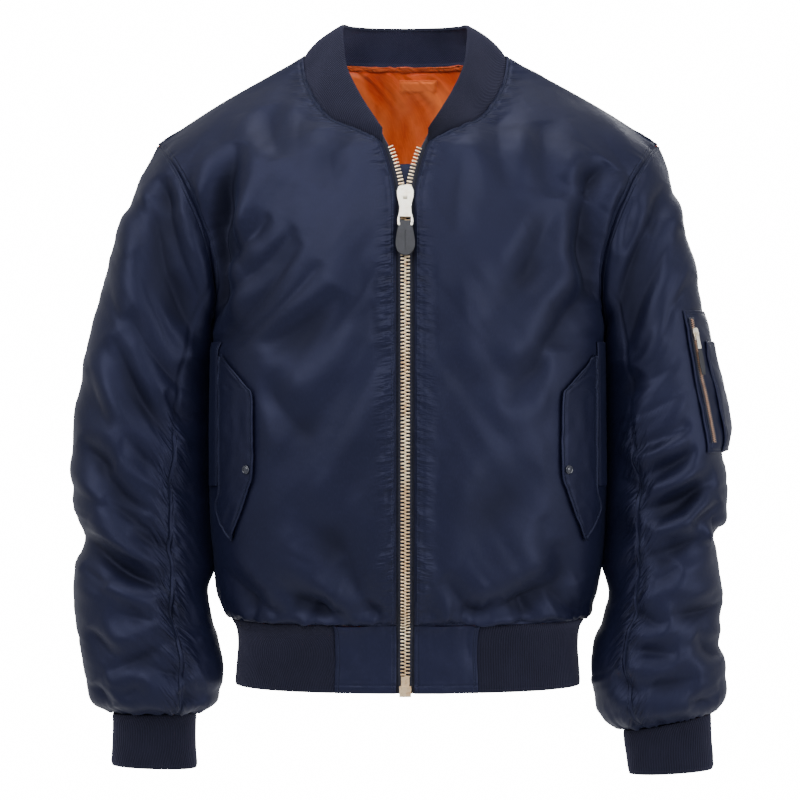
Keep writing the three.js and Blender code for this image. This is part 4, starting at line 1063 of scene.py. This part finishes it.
LAP = 0.02
FRONTS = {}
for name, side in SIDES.items():
    form = lambda u, v, side=side: front_form(side, u * (1 + LAP), v)
    FRONTS[side] = Panel(form, around_body(form), 110, 240, front_relief(side), crowd=(0.66, 0.25))
    cloth(f"front_{name}_satin", FRONTS[side], SATIN, "navy_satin", [f"front_{name}"], inside=PLAIN_SATIN,
          seams=("start", "end", "high"), cut=(0.3, 0.68), gathers=(FRONTS[side].low, FRONTS[side].start))


# Back, with the lining that shows inside it
def back_relief(p):
    x, z = p.x, p.z
    fade = smooth(p.start / 14) * smooth(p.end / 14) * smooth(p.low / 16) * smooth(p.high / 60)
    depth = fade * fold_depth(BACK_FOLDS, x, z)
    depth += smooth(p.low / 8) * 1.4 * crumple(x + 900, 0.35 * z + 900, 36, 61) * smooth(p.high / 20)
    depth += smooth(p.low / 8) * 0.35 * crumple(x + 900, 0.5 * z + 900, 13, 66) * smooth(p.high / 20)
    on_arm = (p.grid_v > UNDERARM) * smooth((p.grid_v - UNDERARM) / 0.05)
    for edge, seed in ((p.start, 70), (p.end, 75)):
        depth += 1.2 * on_arm * pucker(p.low, edge, 11, 16, seed) * smooth(edge / 2)
    depth += 3.6 * smooth(p.low / 3) * pucker(p.start, p.low, 12, 22, 80)
    depth += 0.7 * pucker(p.start, p.high, 9, 12, 84) * smooth(p.high / 6)
    depth -= (2.6 + 1.6 * noise(p.start / 24, 0 * p.low, 88)) * gauss((p.low - 9) / 6.5)
    return depth + edge_roll(p.start) + edge_roll(p.end) + edge_roll(p.low, 2.6, 2.4) + edge_roll(p.high, 0.8)


back_panel = Panel(back_form, around_body(back_form), 150, 200, back_relief, crowd=(0, 0.25))
cloth("back_satin", back_panel, SATIN, "navy_satin", ["back"], inside=PLAIN_SATIN,
      seams=("start", "end", "high"), cut=(0.65, 0.66))

LINING_INSET = 4.6


def lining_form(u, v):
    """Inside of the back, folds and all."""
    beyond = smooth((np.abs(2 * u - 1) - NECK_SHOULDER) / 0.1)
    up = mix(0.06, 0.998 - 0.09 * beyond, v)
    middle = 1 - smooth((np.abs(2 * u - 1) - 0.2) / 0.12)
    level = (smooth((v - 0.84) / 0.1) * (1 - beyond) * middle)[..., None]
    out = unit(mix(back_panel.read(back_panel.normal, u, up), np.array([0, 1, 0]), level))
    return back_panel.read(back_panel.points, u, up) - out * LINING_INSET + np.array([0, 0, 0.9]) * level


def lining_relief(p):
    by_neck = smooth((NECK_SHOULDER - np.abs(2 * p.grid_u - 1)) / 0.05)
    channel = by_neck * (1 - smooth((p.high - CHANNEL_DEEP + 1.5) / 3))
    depth = 1.2 * (1 - by_neck) + 1.6 * channel
    depth += 1.3 * channel * pucker(p.start, 0 * p.high, 4.4, 30, 91)
    depth -= 1.2 * by_neck * gauss((p.high - CHANNEL_DEEP) / 1.5)
    below = smooth((p.high - CHANNEL_DEEP) / 6)
    folds = 2.0 + 2.0 * pucker(p.start, p.high, 13, 70, 94)
    folds -= 2.8 * crumple(p.x + 900, 0.25 * p.z + 900, 18, 97)
    flat = gauss((p.x - 14.5) / 26) * gauss((p.high - 16) / 12)
    return np.maximum(depth + below * mix(folds, 1.0, 0.9 * flat), -1.5)


lining_panel = Panel(lining_form, around_body(lining_form), 140, 100, lining_relief, crowd=(0, 0.45))
cloth("back_lining", lining_panel, LINING, "orange_lining", ["lining_back"], wall=0.8, seams=(),
      cut=(0.64, 0.63), gathers=(lining_panel.start, lining_panel.high))


def sewn_patch():
    """Bare patch on the lining below the collar, puckered by its stitches."""
    def form(u, v):
        across, up = settle(back_form, mix(-6, 35, u), mix(-24, -11, v), (0.5, 0.92))
        return back_panel.read(back_panel.points, across, up) \
            - back_panel.read(back_panel.normal, across, up) * LINING_INSET

    def relief(p):
        edge = np.minimum(np.minimum(p.start, p.end), np.minimum(p.low, p.high))
        puffed = smooth((edge - 1.2) / 2.5)
        return 2.3 + 1.0 * puffed + 0.7 * pucker(p.start + p.low, edge - 1.6, 3.4, 4, 99)

    return Panel(form, around_body(form), 44, 22, relief)


cloth("neck_patch_sewn", sewn_patch(), LINING, "orange_lining", ["neck_patch"], wall=0.7, soft_edge=0.25,
      seams=("start", "end", "low", "high"), cut=(0.046, 0.02))


# Sleeves
def sleeve_relief(side):
    def relief(p):
        turn = (p.grid_u + BACK_SEAM) % 1
        v = mix(-SLEEVE_LAP, 1, p.grid_v)
        p.low = p.low - SLEEVE_LONG * SLEEVE_LAP
        facing = np.sin(2 * math.pi * turn)
        ends = smooth(v / 0.05) * smooth((1 - v) / 0.045)
        front = smooth((facing + 0.12) / 0.3)
        behind = smooth((-facing + 0.05) / 0.4)
        held = smooth((pocket_distance(turn, p.z) - 0.1) / 0.5) if side == LEFT else 1
        folds = SLEEVE_FOLDS[side]
        depth = ends * held * front * fold_depth(folds, p.x, p.z)
        depth += ends * behind * 0.85 * fold_depth(folds, p.x, p.z + 26)
        around = SLEEVE_ROUND * p.grid_u
        seed = 120 + 30 * side
        calm = smooth(v / 0.03) * smooth((1 - v) / 0.02) * (0.25 + 0.75 * held)
        lower = smooth((-p.z - 430) / 120)
        lean = mix(0.52, 1.05, lower) if side == RIGHT else mix(-0.35, -1.05, smooth((-p.z - 300) / 150))
        slant = np.cos(lean) * p.x + np.sin(lean) * p.z
        along = np.cos(lean) * p.z - np.sin(lean) * p.x
        depth += calm * 1.7 * crumple(slant + 900, 0.15 * along + 500, 24, seed, 0.3)
        depth += calm * 0.4 * crumple(slant + 900, 0.25 * along + 500, 10, seed + 4, 0.4)
        p.off = 1000 + 0 * p.low
        for seam, number in ((UNDER_SEAM[side] - 0.03 * v, 8), (BACK_SEAM, 12)):
            signed = SLEEVE_ROUND * ((turn - seam + 0.5) % 1 - 0.5)
            away = np.abs(signed)
            gathered = smooth((v - 0.22) / 0.12) * smooth((1 - v) / 0.03)
            depth += 3.4 * gathered * pucker(p.low, signed, 11, 17, seed + number) * smooth((away - 1) / 6)
            depth += edge_roll(away, 1.5, 1.8) * smooth((v - 0.02) / 0.05)
            p.off = np.minimum(p.off, away + 40 * (1 - gathered))
        by_cuff = smooth(p.high / 3) * smooth((0.25 - (1 - v)) / 0.1)
        depth += 2.6 * by_cuff * pucker(around, p.high, 10, 20, seed + 16)
        depth += 1.0 * smooth(p.low / 3) * pucker(around, p.low, 12, 14, seed + 20)
        press = gauss((turn - 0.5) / 0.09) * smooth((v - 0.01) / 0.06) * smooth((0.66 - v) / 0.08)
        depth *= 1 - 0.9 * np.minimum(1, 1.3 * press)
        depth -= (9.5 if side == RIGHT else 9.0) * press
        lap = 2.6 * smooth(-p.low / 2)
        return depth + lap + edge_roll(p.low) + edge_roll(p.high, 1.8, 2.4)
    return relief


def pocket_distance(turn, z):
    """0 under the sleeve pocket, growing to 1 a little way from it."""
    around = np.maximum(0, np.abs((turn + 0.48) % 1 - 0.5) - 0.16) / 0.06
    along = np.maximum(0, np.abs(z + 345) - 70) / 30
    return np.minimum(1, np.hypot(around, along))


SLEEVE_LAP = 0.012
SLEEVE_PANELS = {}
for name, side in SIDES.items():
    form = lambda u, v, side=side: sleeve_form(side, (u + BACK_SEAM) % 1, mix(-SLEEVE_LAP, 1, v))
    core = lambda u, v, side=side: ring_middle(SLEEVES[side], side, mix(-SLEEVE_LAP, 1, v))
    SLEEVE_PANELS[side] = Panel(form, core, 150, 225, sleeve_relief(side), crowd=(0, 0.2))
    cloth(f"sleeve_{name}_satin", SLEEVE_PANELS[side], SATIN, "navy_satin",
          [f"sleeve_outer_{name}", f"sleeve_under_{name}"], inside=LINING, closed=True,
          seams=("low",), cut=(0.55, 0.63), gathers=(SLEEVE_PANELS[side].low, SLEEVE_PANELS[side].off))


# Rib knit: collar, cuffs and hem
def cuff_relief(seed):
    def relief(p):
        around = p.start[p.start.shape[0] // 2][None, :] + 0 * p.start
        bottom = smooth((p.high - 1) / 5)
        depth = 0.8 * (1 - bottom)
        depth += 0.5 * noise(around / 20, p.low / 14, seed) + edge_roll(p.low, 1.0, 2.0)
        return depth + 0.35 * gauss((p.high - 9) / 1.2)
    return relief


for name, side in SIDES.items():
    form = lambda u, v, side=side: ring(side, section(CUFFS[side], v), 2 * math.pi * (u + BACK_SEAM))
    core = lambda u, v, side=side: ring_middle(CUFFS[side], side, v)
    panel = Panel(form, core, 132, 16, cuff_relief(200 + side))
    cloth(f"cuff_{name}_rib", panel, RIB, "navy_rib", [f"cuff_{name}"], wall=RIB_WALL, inside=RIB,
          closed=True, seams=(), soft_edge=0.9, cut=(0.25, 0.06), held="stretched")


def collar_lap(t):
    """Share of the collar's height that runs on under the neck seam."""
    return mix(0.03, 0.1, smooth((np.abs(t) - 0.3) / 0.1))


def collar_form(u, v):
    t = 2 * u - 1
    v = mix(-collar_lap(t), 1, v)
    spot = closer(neck_seam(t), collar_top(t), v)
    away = unit(unit(spot * np.array([1, 1, 0])) + np.array([0, 0, 0.5]))
    narrow = 1 - 0.7 * np.abs(t) ** 4
    return spot + away * (4 * narrow * 4 * np.maximum(v, 0) * (1 - v))[..., None]


def collar_middle(u, v):
    t = 2 * u - 1
    return closer(neck_seam(t), collar_top(t), 0.5 + 0 * u) * np.array([0.4, 0.4, 1]) + np.array([0, 0, -40])


def collar_relief(p):
    along = p.start[p.start.shape[0] // 2][None, :] + 0 * p.start
    depth = 1.1 * (1 - smooth(p.high / 3)) ** 2
    share = collar_lap(2 * p.grid_u - 1)
    lap = (p.low + p.high) * share / (1 + share)
    return depth + 0.7 * noise(along / 26, p.low / 18, 231) + edge_roll(p.low - lap, 0.9, 1.6) \
        + 2.2 * (1 - smooth(p.low / lap))


collar_panel = Panel(collar_form, collar_middle, 220, 22, collar_relief, crowd=(0, 0.3))
# The collar's inner face has the rib copy with painted light.
cloth("collar_rib", collar_panel, RIB, "navy_rib", ["collar"], wall=COLLAR_WALL, inside=RIB_PAINTED_LIGHTER,
      seams=(), soft_edge=1.3, cut=(0.64, 0.06), held="stretched")


def hem_relief(seed, ribbed):
    def relief(p):
        along = p.start[0][None, :] + 0 * p.start
        depth = edge_roll(p.low, 1.2, 2.2) + 0.7 * (1 - smooth((p.high - 0.5) / 3))
        if ribbed:
            depth += 0.6 * noise(along / 24, p.low / 20, seed)
            return depth + 3.3 * (1 - smooth((np.minimum(p.start, p.end) - 3.2) / 1.6))
        depth += 0.9 * gauss((p.high - 8.4) / 1.0) + 0.6 * smooth((p.high - 8) / 4)
        depth += 0.5 * pucker(along, p.high - 8.4, 7, 7, seed)
        depth += 1.3 * smooth(p.low / 3) * pucker(along, p.low, 9, 15, seed + 4)
        depth += 0.8 * pucker(p.low, p.start, 8, 14, seed + 8)
        depth += 1.7 * crumple(0.8 * along + 300, 0.6 * p.low + 300, 20, seed)
        return depth + edge_roll(p.start, 0.8) + edge_roll(p.end, 1.0)
    return relief


HEM_MIDDLE = lambda u, v: place(0 * u, 0 * u, -620)
hem_form_around = lambda u, v: hem_form(mix(PANEL_TURN - 0.004, 1 - PANEL_TURN + 0.004, u), v)
cloth("hem_rib_knit", Panel(hem_form_around, HEM_MIDDLE, 300, 16, hem_relief(240, True)), RIB,
      "navy_rib", ["hem_rib"], wall=RIB_WALL, seams=(), soft_edge=0.9, cut=(0.84, 0.072), held="stretched")
for name, side in SIDES.items():
    form = lambda u, v, side=side: hem_form((side * mix(ZIP_TURN, PANEL_TURN - 0.0003, u)) % 1, v)
    panel = Panel(form, HEM_MIDDLE, 64, 60, hem_relief(250 + 9 * side, False), crowd=(0.3, 0.4))
    cloth(f"hem_panel_{name}_satin", panel, SATIN, "navy_satin", [f"hem_panel_{name}"], wall=RIB_WALL,
          seams=("start", "end"), soft_edge=0.5, cut=(0.07, 0.072))


# Main zip: tapes, wind flap and teeth
CHAIN_MIDDLE = -(FRONT["zipX"][0] - 0.15)
TAPE_START = CHAIN_MIDDLE + CHAIN_HALF - 0.6
CHAIN_BEHIND = 0.6
TAPE_BEHIND = 4.4


def on_zip(u, v):
    return place(0 * u, 60 + 0 * u, zip_edge(v)[..., 2])


def tape_relief(p):
    return 0.25 * noise(p.low / 9, p.start / 6, 300) - 0.5 * gauss(p.start / 1.0)


def tape_form(side, u, v):
    """Tape from the hem up to its end under the collar."""
    up = mix(0, 1.026, v)
    spot = beside_zip(side, np.minimum(up, 1), mix(TAPE_START, TAPE_START + 9.3, u),
                      mix(CHAIN_BEHIND + 1.3, TAPE_BEHIND, smooth(u * 2.2)))
    onward = unit(zip_edge(np.array(1.0)) - zip_edge(np.array(0.98))) * np.array([side, 1, 1])
    return spot + np.maximum(up - 1, 0)[..., None] * (570 * onward + np.array([0, 60, 0]))


for name, side in SIDES.items():
    form = lambda u, v, side=side: tape_form(side, u, v)
    cloth(f"zip_tape_{name}_woven", Panel(form, on_zip, 10, 240, tape_relief), TAPE, "zip_tape",
          [f"zip_tape_{name}"], wall=0.8, seams=(), cut=(0.0102, 0.6), held="stretched")


def wind_flap_form(u, v):
    edge = zip_edge(mix(0.01, 0.955, v))
    spot = place(mix(-27, 27, u), edge[..., 1], edge[..., 2])
    return spot + zip_inward(mix(0.01, 0.955, v)) * 8


def wind_flap_relief(p):
    return 0.9 * -crumple(p.x + 300, p.z + 900, 22, 310) + 0.7 * pucker(p.start, p.high, 8, 14, 312)


cloth("wind_flap_satin", Panel(wind_flap_form, on_zip, 28, 150, wind_flap_relief), PLAIN_SATIN,
      "navy_satin", ["wind_flap"], wall=1.6, inside=LINING, seams=("high",), soft_edge=0.5,
      cut=(0.056, 0.6))


def tooth_shape(long, deep, high, neck):
    """One moulded tooth along x, with its head at -x and drawn in at the neck."""
    tooth = bmesh.new()
    bmesh.ops.create_cube(tooth, size=1)
    ends = [e for e in tooth.edges if abs(e.verts[0].co.x - e.verts[1].co.x) > 0.5]
    bmesh.ops.subdivide_edges(tooth, edges=ends, cuts=1)
    for v in tooth.verts:
        squeeze = neck if abs(v.co.x) < 0.2 else 1
        root = 0.8 if v.co.x > 0.2 else 1
        v.co = Vector((v.co.x * long, v.co.y * deep * root, v.co.z * high * squeeze))
    border = [e for e in tooth.edges if len(e.link_faces) == 2 and e.calc_face_angle() > 1]
    bmesh.ops.bevel(tooth, geom=border, offset=0.16 * high, segments=1, affect="EDGES", profile=0.5,
                    material=-1)
    mesh = bpy.data.meshes.new("tooth")
    tooth.to_mesh(mesh)
    tooth.free()
    return mesh


def row_of(mesh, frames, name):
    """Copies of one mesh, each set in its frame, joined as one mesh."""
    joined = bmesh.new()
    for spot, across, into, up in frames:
        start = len(joined.verts)
        joined.from_mesh(mesh)
        joined.verts.ensure_lookup_table()
        turn = Matrix((across, into, up)).transposed().to_4x4()
        set_in = Matrix.Translation(Vector(spot) * MM) @ turn @ Matrix.Scale(MM, 4)
        bmesh.ops.transform(joined, matrix=set_in, verts=joined.verts[start:])
    bmesh.ops.recalc_face_normals(joined, faces=joined.faces)
    row = bpy.data.meshes.new(name)
    joined.to_mesh(row)
    joined.free()
    row.shade_smooth()
    row.set_sharp_from_angle(angle=math.radians(35))
    return row


MAIN_TOOTH = tooth_shape(5.6, 2.5, 1.6, 0.72)
PITCH = 3.72
fine_v = np.linspace(0.035, 0.985, 3000)
fine_path = beside_zip(LEFT, fine_v, 0, 0)
path_length = run_lengths(fine_path, 0)
for name, side in SIDES.items():
    shift = 0 if side == LEFT else PITCH / 2
    at_v = np.interp(np.arange(shift, path_length[-1], PITCH), path_length, fine_v)
    spots = beside_zip(side, at_v, CHAIN_MIDDLE + 1.75, CHAIN_BEHIND + 1.3)
    along = unit(beside_zip(side, at_v + 0.003, 0, 0) - beside_zip(side, at_v - 0.003, 0, 0))
    inward = zip_inward(at_v)
    frames = []
    for spot, up, into in zip(spots, along, inward):
        up = Vector(up)
        into = (Vector(into) - up * up.dot(Vector(into))).normalized()
        across = into.cross(up) * side
        frames.append((spot, -across if across.x * side < 0 else across, into, up))
    teeth = row_of(MAIN_TOOTH, frames, f"zip_teeth_{name}_row")
    teeth.materials.append(TEETH)
    piece(f"zip_teeth_{name}_row", teeth, "brass_teeth", [f"zip_teeth_{name}"])


# Sliders, pulls, tag, box and strap, from their CAD solids with rounded edges
def rounded(name, node, finish, slot, round_mm, body="jacket"):
    shell = bmesh.new()
    shell.from_mesh(bpy.data.objects[node].data if node in bpy.data.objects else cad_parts[node].data)
    bmesh.ops.remove_doubles(shell, verts=shell.verts, dist=1e-6)
    bmesh.ops.dissolve_limit(shell, angle_limit=math.radians(1.5), verts=shell.verts, edges=shell.edges)
    mesh = bpy.data.meshes.new(name)
    shell.to_mesh(mesh)
    shell.free()
    mesh.shade_smooth()
    mesh.set_sharp_from_angle(angle=math.radians(40))
    mesh.materials.clear()
    mesh.materials.append(finish)
    made = piece(name, mesh, slot, [node], body)
    rounding = made.modifiers.new("edge", "BEVEL")
    rounding.width = round_mm * MM
    rounding.segments = 3
    rounding.limit_method = "ANGLE"
    rounding.angle_limit = math.radians(38)
    rounding.harden_normals = True
    return made


for node, finish, slot, round_mm, body in (
    ("zip_slider", GOLD, "pale_gold", 0.45, "jacket"),
    ("zip_pull", GOLD, "pale_gold", 0.4, "zip_pull"),
    ("zip_tag", RUBBER, "charcoal_tag", 0.6, "zip_pull"),
    ("zip_box", TEETH, "brass_teeth", 0.5, "jacket"),
    ("sleeve_slider", GOLD, "pale_gold", 0.25, "jacket"),
    ("sleeve_pull", GOLD, "pale_gold", 0.2, "sleeve_pull"),
    ("sleeve_pull_strap", RUBBER, "charcoal_tag", 0.3, "sleeve_pull"),
):
    rounded(f"{node}_rounded", node, finish, slot, round_mm, body)


# Pocket flaps, welts and snaps on the fronts
def over_front(side, x, z, lift):
    """Points over one front at a distance x from the middle and a height z."""
    form = lambda a, b: front_form(side, a, b)
    u, v = settle(form, side * x + BODY_LEAN * (x / FRONT["wide"][4]), z)
    panel = FRONTS[side]
    return panel.read(panel.points, u, v) + panel.read(panel.normal, u, v) * np.asarray(lift)[..., None]


def front_middle(u, v):
    return place(0 * u, 0 * u, -400)


CLOTH_LIFT = 2.6
for name, side in SIDES.items():
    def flap_form(u, v, side=side):
        s = section(FLAP, v)
        free = smooth(1 - u / 0.5)
        return over_front(side, mix(s.free, s.welt, u), s.z, CLOTH_LIFT + 1.6 * free + 0 * u)

    def flap_relief(p, side=side):
        depth = 0.7 * -crumple(p.start + 200, p.low + 200, 21, 330 + side)
        for edge in (p.start, p.end):
            depth += 0.9 * gauss((edge - 5.0) / 1.1) - 0.8 * gauss((edge - 2.2) / 1.8)
            depth += 0.45 * pucker(p.low, edge - 4.6, 7, 6, 333 + side)
        return depth

    cloth(f"pocket_flap_{name}_satin", Panel(flap_form, front_middle, 34, 96, flap_relief), SATIN, "navy_satin",
          [f"pocket_flap_{name}"], wall=FLAP_WALL, seams=("start", "end", "low"), soft_edge=0.7,
          cut=(0.062, 0.23))

    def welt_form(u, v, side=side):
        return over_front(side, mix(WELT.from_x, WELT.to_x, u), mix(WELT.low_z, WELT.high_z, v),
                          CLOTH_LIFT + 0 * u)

    cloth(f"pocket_welt_{name}_satin", Panel(welt_form, front_middle, 12, 70, no_relief), SATIN, "navy_satin",
          [f"pocket_welt_{name}"], wall=FLAP_WALL, seams=("start",), soft_edge=0.6, cut=(0.035, 0.155))

    spot = over_front(side, np.array(158.0), np.array(-430.0), np.array(CLOTH_LIFT + 1.9))
    tip = over_front(side, np.array(158.0), np.array(-430.0), np.array(CLOTH_LIFT + 11.9))
    out = Vector(tip - spot).normalized()
    cap = bmesh.new()
    outline = [(0, 1.7), (1.6, 1.62), (2.5, 1.3), (2.9, 1.05), (3.2, 1.15), (3.7, 1.35), (4.3, 1.0), (4.6, 0.5),
               (4.6, 0), (0, 0)]
    ring_verts = [cap.verts.new((r, 0, h)) for r, h in outline]
    ring_edges = [cap.edges.new(pair) for pair in zip(ring_verts, ring_verts[1:])]
    bmesh.ops.spin(cap, geom=ring_verts + ring_edges, cent=(0, 0, 0), axis=(0, 0, 1), angle=2 * math.pi,
                   steps=40, use_merge=True)
    bmesh.ops.remove_doubles(cap, verts=cap.verts, dist=1e-4)
    bmesh.ops.recalc_face_normals(cap, faces=cap.faces)
    turn = Vector((0, 0, 1)).rotation_difference(out).to_matrix().to_4x4()
    bmesh.ops.transform(cap, matrix=Matrix.Translation(Vector(spot) * MM) @ turn @ Matrix.Scale(MM, 4),
                        verts=cap.verts)
    mesh = bpy.data.meshes.new(f"snap_{name}_cap")
    cap.to_mesh(mesh)
    cap.free()
    mesh.shade_smooth()
    mesh.set_sharp_from_angle(angle=math.radians(50))
    mesh.materials.append(SNAP_CAP)
    piece(f"snap_{name}_cap", mesh, "navy_snap", [f"snap_{name}"])


# Sleeve pocket, pen pocket and their zip on the wearer's left sleeve
POCKET = SimpleNamespace(from_turn=0.165, to_turn=-0.125, top_z=-268, low_z=-414)
PEN = SimpleNamespace(from_turn=0.105, to_turn=-0.1, top_z=-300, low_z=-412)
ZIP_LINE = SimpleNamespace(turn=0.146, top_z=-276, low_z=-404)


def over_sleeve(turn, z, lift):
    """Points over the left sleeve at a turn and a height."""
    turn, z = np.broadcast_arrays(np.asarray(turn, float), np.asarray(z, float))
    low, high = CAP_LENGTH + 0 * z, 0.9 + 0 * z
    for _ in range(24):
        middle = (low + high) / 2
        above = sleeve_form(LEFT, turn % 1, middle)[..., 2] > z
        low, high = np.where(above, middle, low), np.where(above, high, middle)
    panel = SLEEVE_PANELS[LEFT]
    u = (turn - BACK_SEAM) % 1
    low = (low + SLEEVE_LAP) / (1 + SLEEVE_LAP)
    return panel.read(panel.points, u, low) + panel.read(panel.normal, u, low) * np.asarray(lift)[..., None]


def sleeve_pocket_middle(u, v):
    return place(255 + 0 * u, -10, -345)


POCKET_LIFT, PEN_LIFT = 3.6, 6.4
for name, where, lift, columns, rows, cut in (
    ("sleeve_pocket", POCKET, POCKET_LIFT, 60, 60, (0.14, 0.156)),
    ("pen_pocket", PEN, PEN_LIFT, 48, 48, (0.106, 0.121)),
):
    def form(u, v, where=where, lift=lift):
        return over_sleeve(mix(where.from_turn, where.to_turn, u), mix(where.low_z, where.top_z, v),
                           lift + 0 * u)

    def relief(p, seed=350 + columns):
        depth = 0.9 * -crumple(p.start + 300, p.low + 300, 25, seed)
        for edge in (p.start, p.end, p.low, p.high):
            depth += 0.4 * gauss((edge - 4) / 1.1) + 0.9 * gauss(edge / 1.2)
            depth += 0.35 * pucker(p.start + p.low, edge - 4, 8, 6, seed + 3)
        return depth

    cloth(f"{name}_satin", Panel(form, sleeve_pocket_middle, columns, rows, relief), SATIN, "navy_satin",
          [name], wall=FLAP_WALL, seams=("start", "end", "low", "high"), soft_edge=0.6, cut=cut)


def sleeve_zip_frame(z, lift):
    spot = over_sleeve(ZIP_LINE.turn, z, lift + 0 * z)
    up = unit(over_sleeve(ZIP_LINE.turn, z + 5, lift + 0 * z)
              - over_sleeve(ZIP_LINE.turn, z - 5, lift + 0 * z))
    into = unit(over_sleeve(ZIP_LINE.turn, z, lift - 5 + 0 * z) - spot)
    across = unit(np.cross(into, up))
    return spot, across, np.cross(up, across), up


ZIP_LIFT = POCKET_LIFT + 1.1


def sleeve_tape_form(u, v):
    spot, across, _, _ = sleeve_zip_frame(mix(ZIP_LINE.low_z, ZIP_LINE.top_z, v), ZIP_LIFT - 0.4)
    return spot + across * mix(-3.6, 3.6, u)[..., None]


cloth("sleeve_zip_tape", Panel(sleeve_tape_form, sleeve_pocket_middle, 8, 60, tape_relief), TAPE, "zip_tape",
      wall=0.6, seams=(), cut=(0.0102, 0.14), held="stretched")
SMALL_TOOTH = tooth_shape(2.5, 1.2, 0.7, 0.8)
heights = np.arange(ZIP_LINE.low_z + 1, ZIP_LINE.top_z - 1, 1.05)
spots, across, into, up = sleeve_zip_frame(heights, ZIP_LIFT + 0.2)
offsets = np.where(np.arange(len(heights)) % 2, -0.65, 0.65)
small_frames = [(s + a * shift, Vector(a), Vector(i), Vector(w))
                for s, a, i, w, shift in zip(spots, across, into, up, offsets)]
small_teeth = row_of(SMALL_TOOTH, small_frames, "sleeve_zip_teeth")
small_teeth.materials.append(ROSE_TEETH)
piece("sleeve_zip_teeth", small_teeth, "brass_teeth", ["sleeve_zip"])


# Floor and soft studio light
floor_shape = bmesh.new()
bmesh.ops.create_circle(floor_shape, cap_ends=True, segments=96, radius=1.5)
bmesh.ops.translate(floor_shape, verts=floor_shape.verts, vec=(0, 0, -1.05))
floor_mesh = bpy.data.meshes.new("floor")
floor_shape.to_mesh(floor_mesh)
floor_shape.free()
floor = bpy.data.objects.new("floor", floor_mesh)
bpy.context.scene.collection.objects.link(floor)
floor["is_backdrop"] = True
pale = Finish("pale_floor", Roughness=0.9, Specular_IOR_Level=0.1)
pale_tone = pale.noise(pale.spot(), 3)
floor_mesh.materials.append(pale.paint(pale.blend(pale_tone, (0.92, 0.92, 0.92), (0.95, 0.95, 0.95))))


def soft_light(name, where, aim, size, power):
    lamp = bpy.data.lights.new(name, "AREA")
    lamp.shape, lamp.size, lamp.energy = "SQUARE", size, power
    made = bpy.data.objects.new(name, lamp)
    made.location = where
    made.rotation_euler = (Vector(aim) - Vector(where)).to_track_quat("-Z", "Y").to_euler()
    bpy.context.scene.collection.objects.link(made)


soft_light("key", (-1.5, -2.1, 1.3), (0, 0, -0.35), 2.2, 78)
soft_light("fill", (2.0, -1.9, 0.1), (0, 0, -0.4), 1.8, 52)
soft_light("top", (0.1, -0.4, 2.2), (0, 0, -0.3), 1.2, 34)
soft_light("behind", (0.6, 2.2, 0.6), (0, 0, -0.3), 1.6, 40)
neck_light = bpy.data.lights.new("neck", "SPOT")
neck_light.energy, neck_light.spot_size, neck_light.spot_blend = 250, math.radians(8), 1
neck_light.shadow_soft_size = 0.18
neck_lamp = bpy.data.objects.new("neck", neck_light)
neck_lamp.location = (0, -2.1, 0.75)
neck_lamp.rotation_euler = (Vector((0, 0, -0.02)) - neck_lamp.location).to_track_quat("-Z", "Y").to_euler()
bpy.context.scene.collection.objects.link(neck_lamp)
world = bpy.data.worlds.new("studio")
world.use_nodes = True
sky = world.node_tree
sky.nodes["Background"].inputs["Color"].default_value = (1, 1, 1, 1)
seen = sky.nodes.new("ShaderNodeLightPath")
mirrored = sky.nodes.new("ShaderNodeMix")
mirrored.inputs[2].default_value = 0.34
mirrored.inputs[3].default_value = 0.9
sky.links.new(seen.outputs["Is Glossy Ray"], mirrored.inputs[0])
strength = sky.nodes.new("ShaderNodeMix")
strength.inputs[3].default_value = 16.0
sky.links.new(mirrored.outputs[0], strength.inputs[2])
sky.links.new(seen.outputs["Is Camera Ray"], strength.inputs[0])
sky.links.new(strength.outputs[0], sky.nodes["Background"].inputs["Strength"])
bpy.context.scene.world = world

boxes = {"cad": cad_box, "visual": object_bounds()}
{key: [list(map(float, corner)) for corner in box] for key, box in boxes.items()}
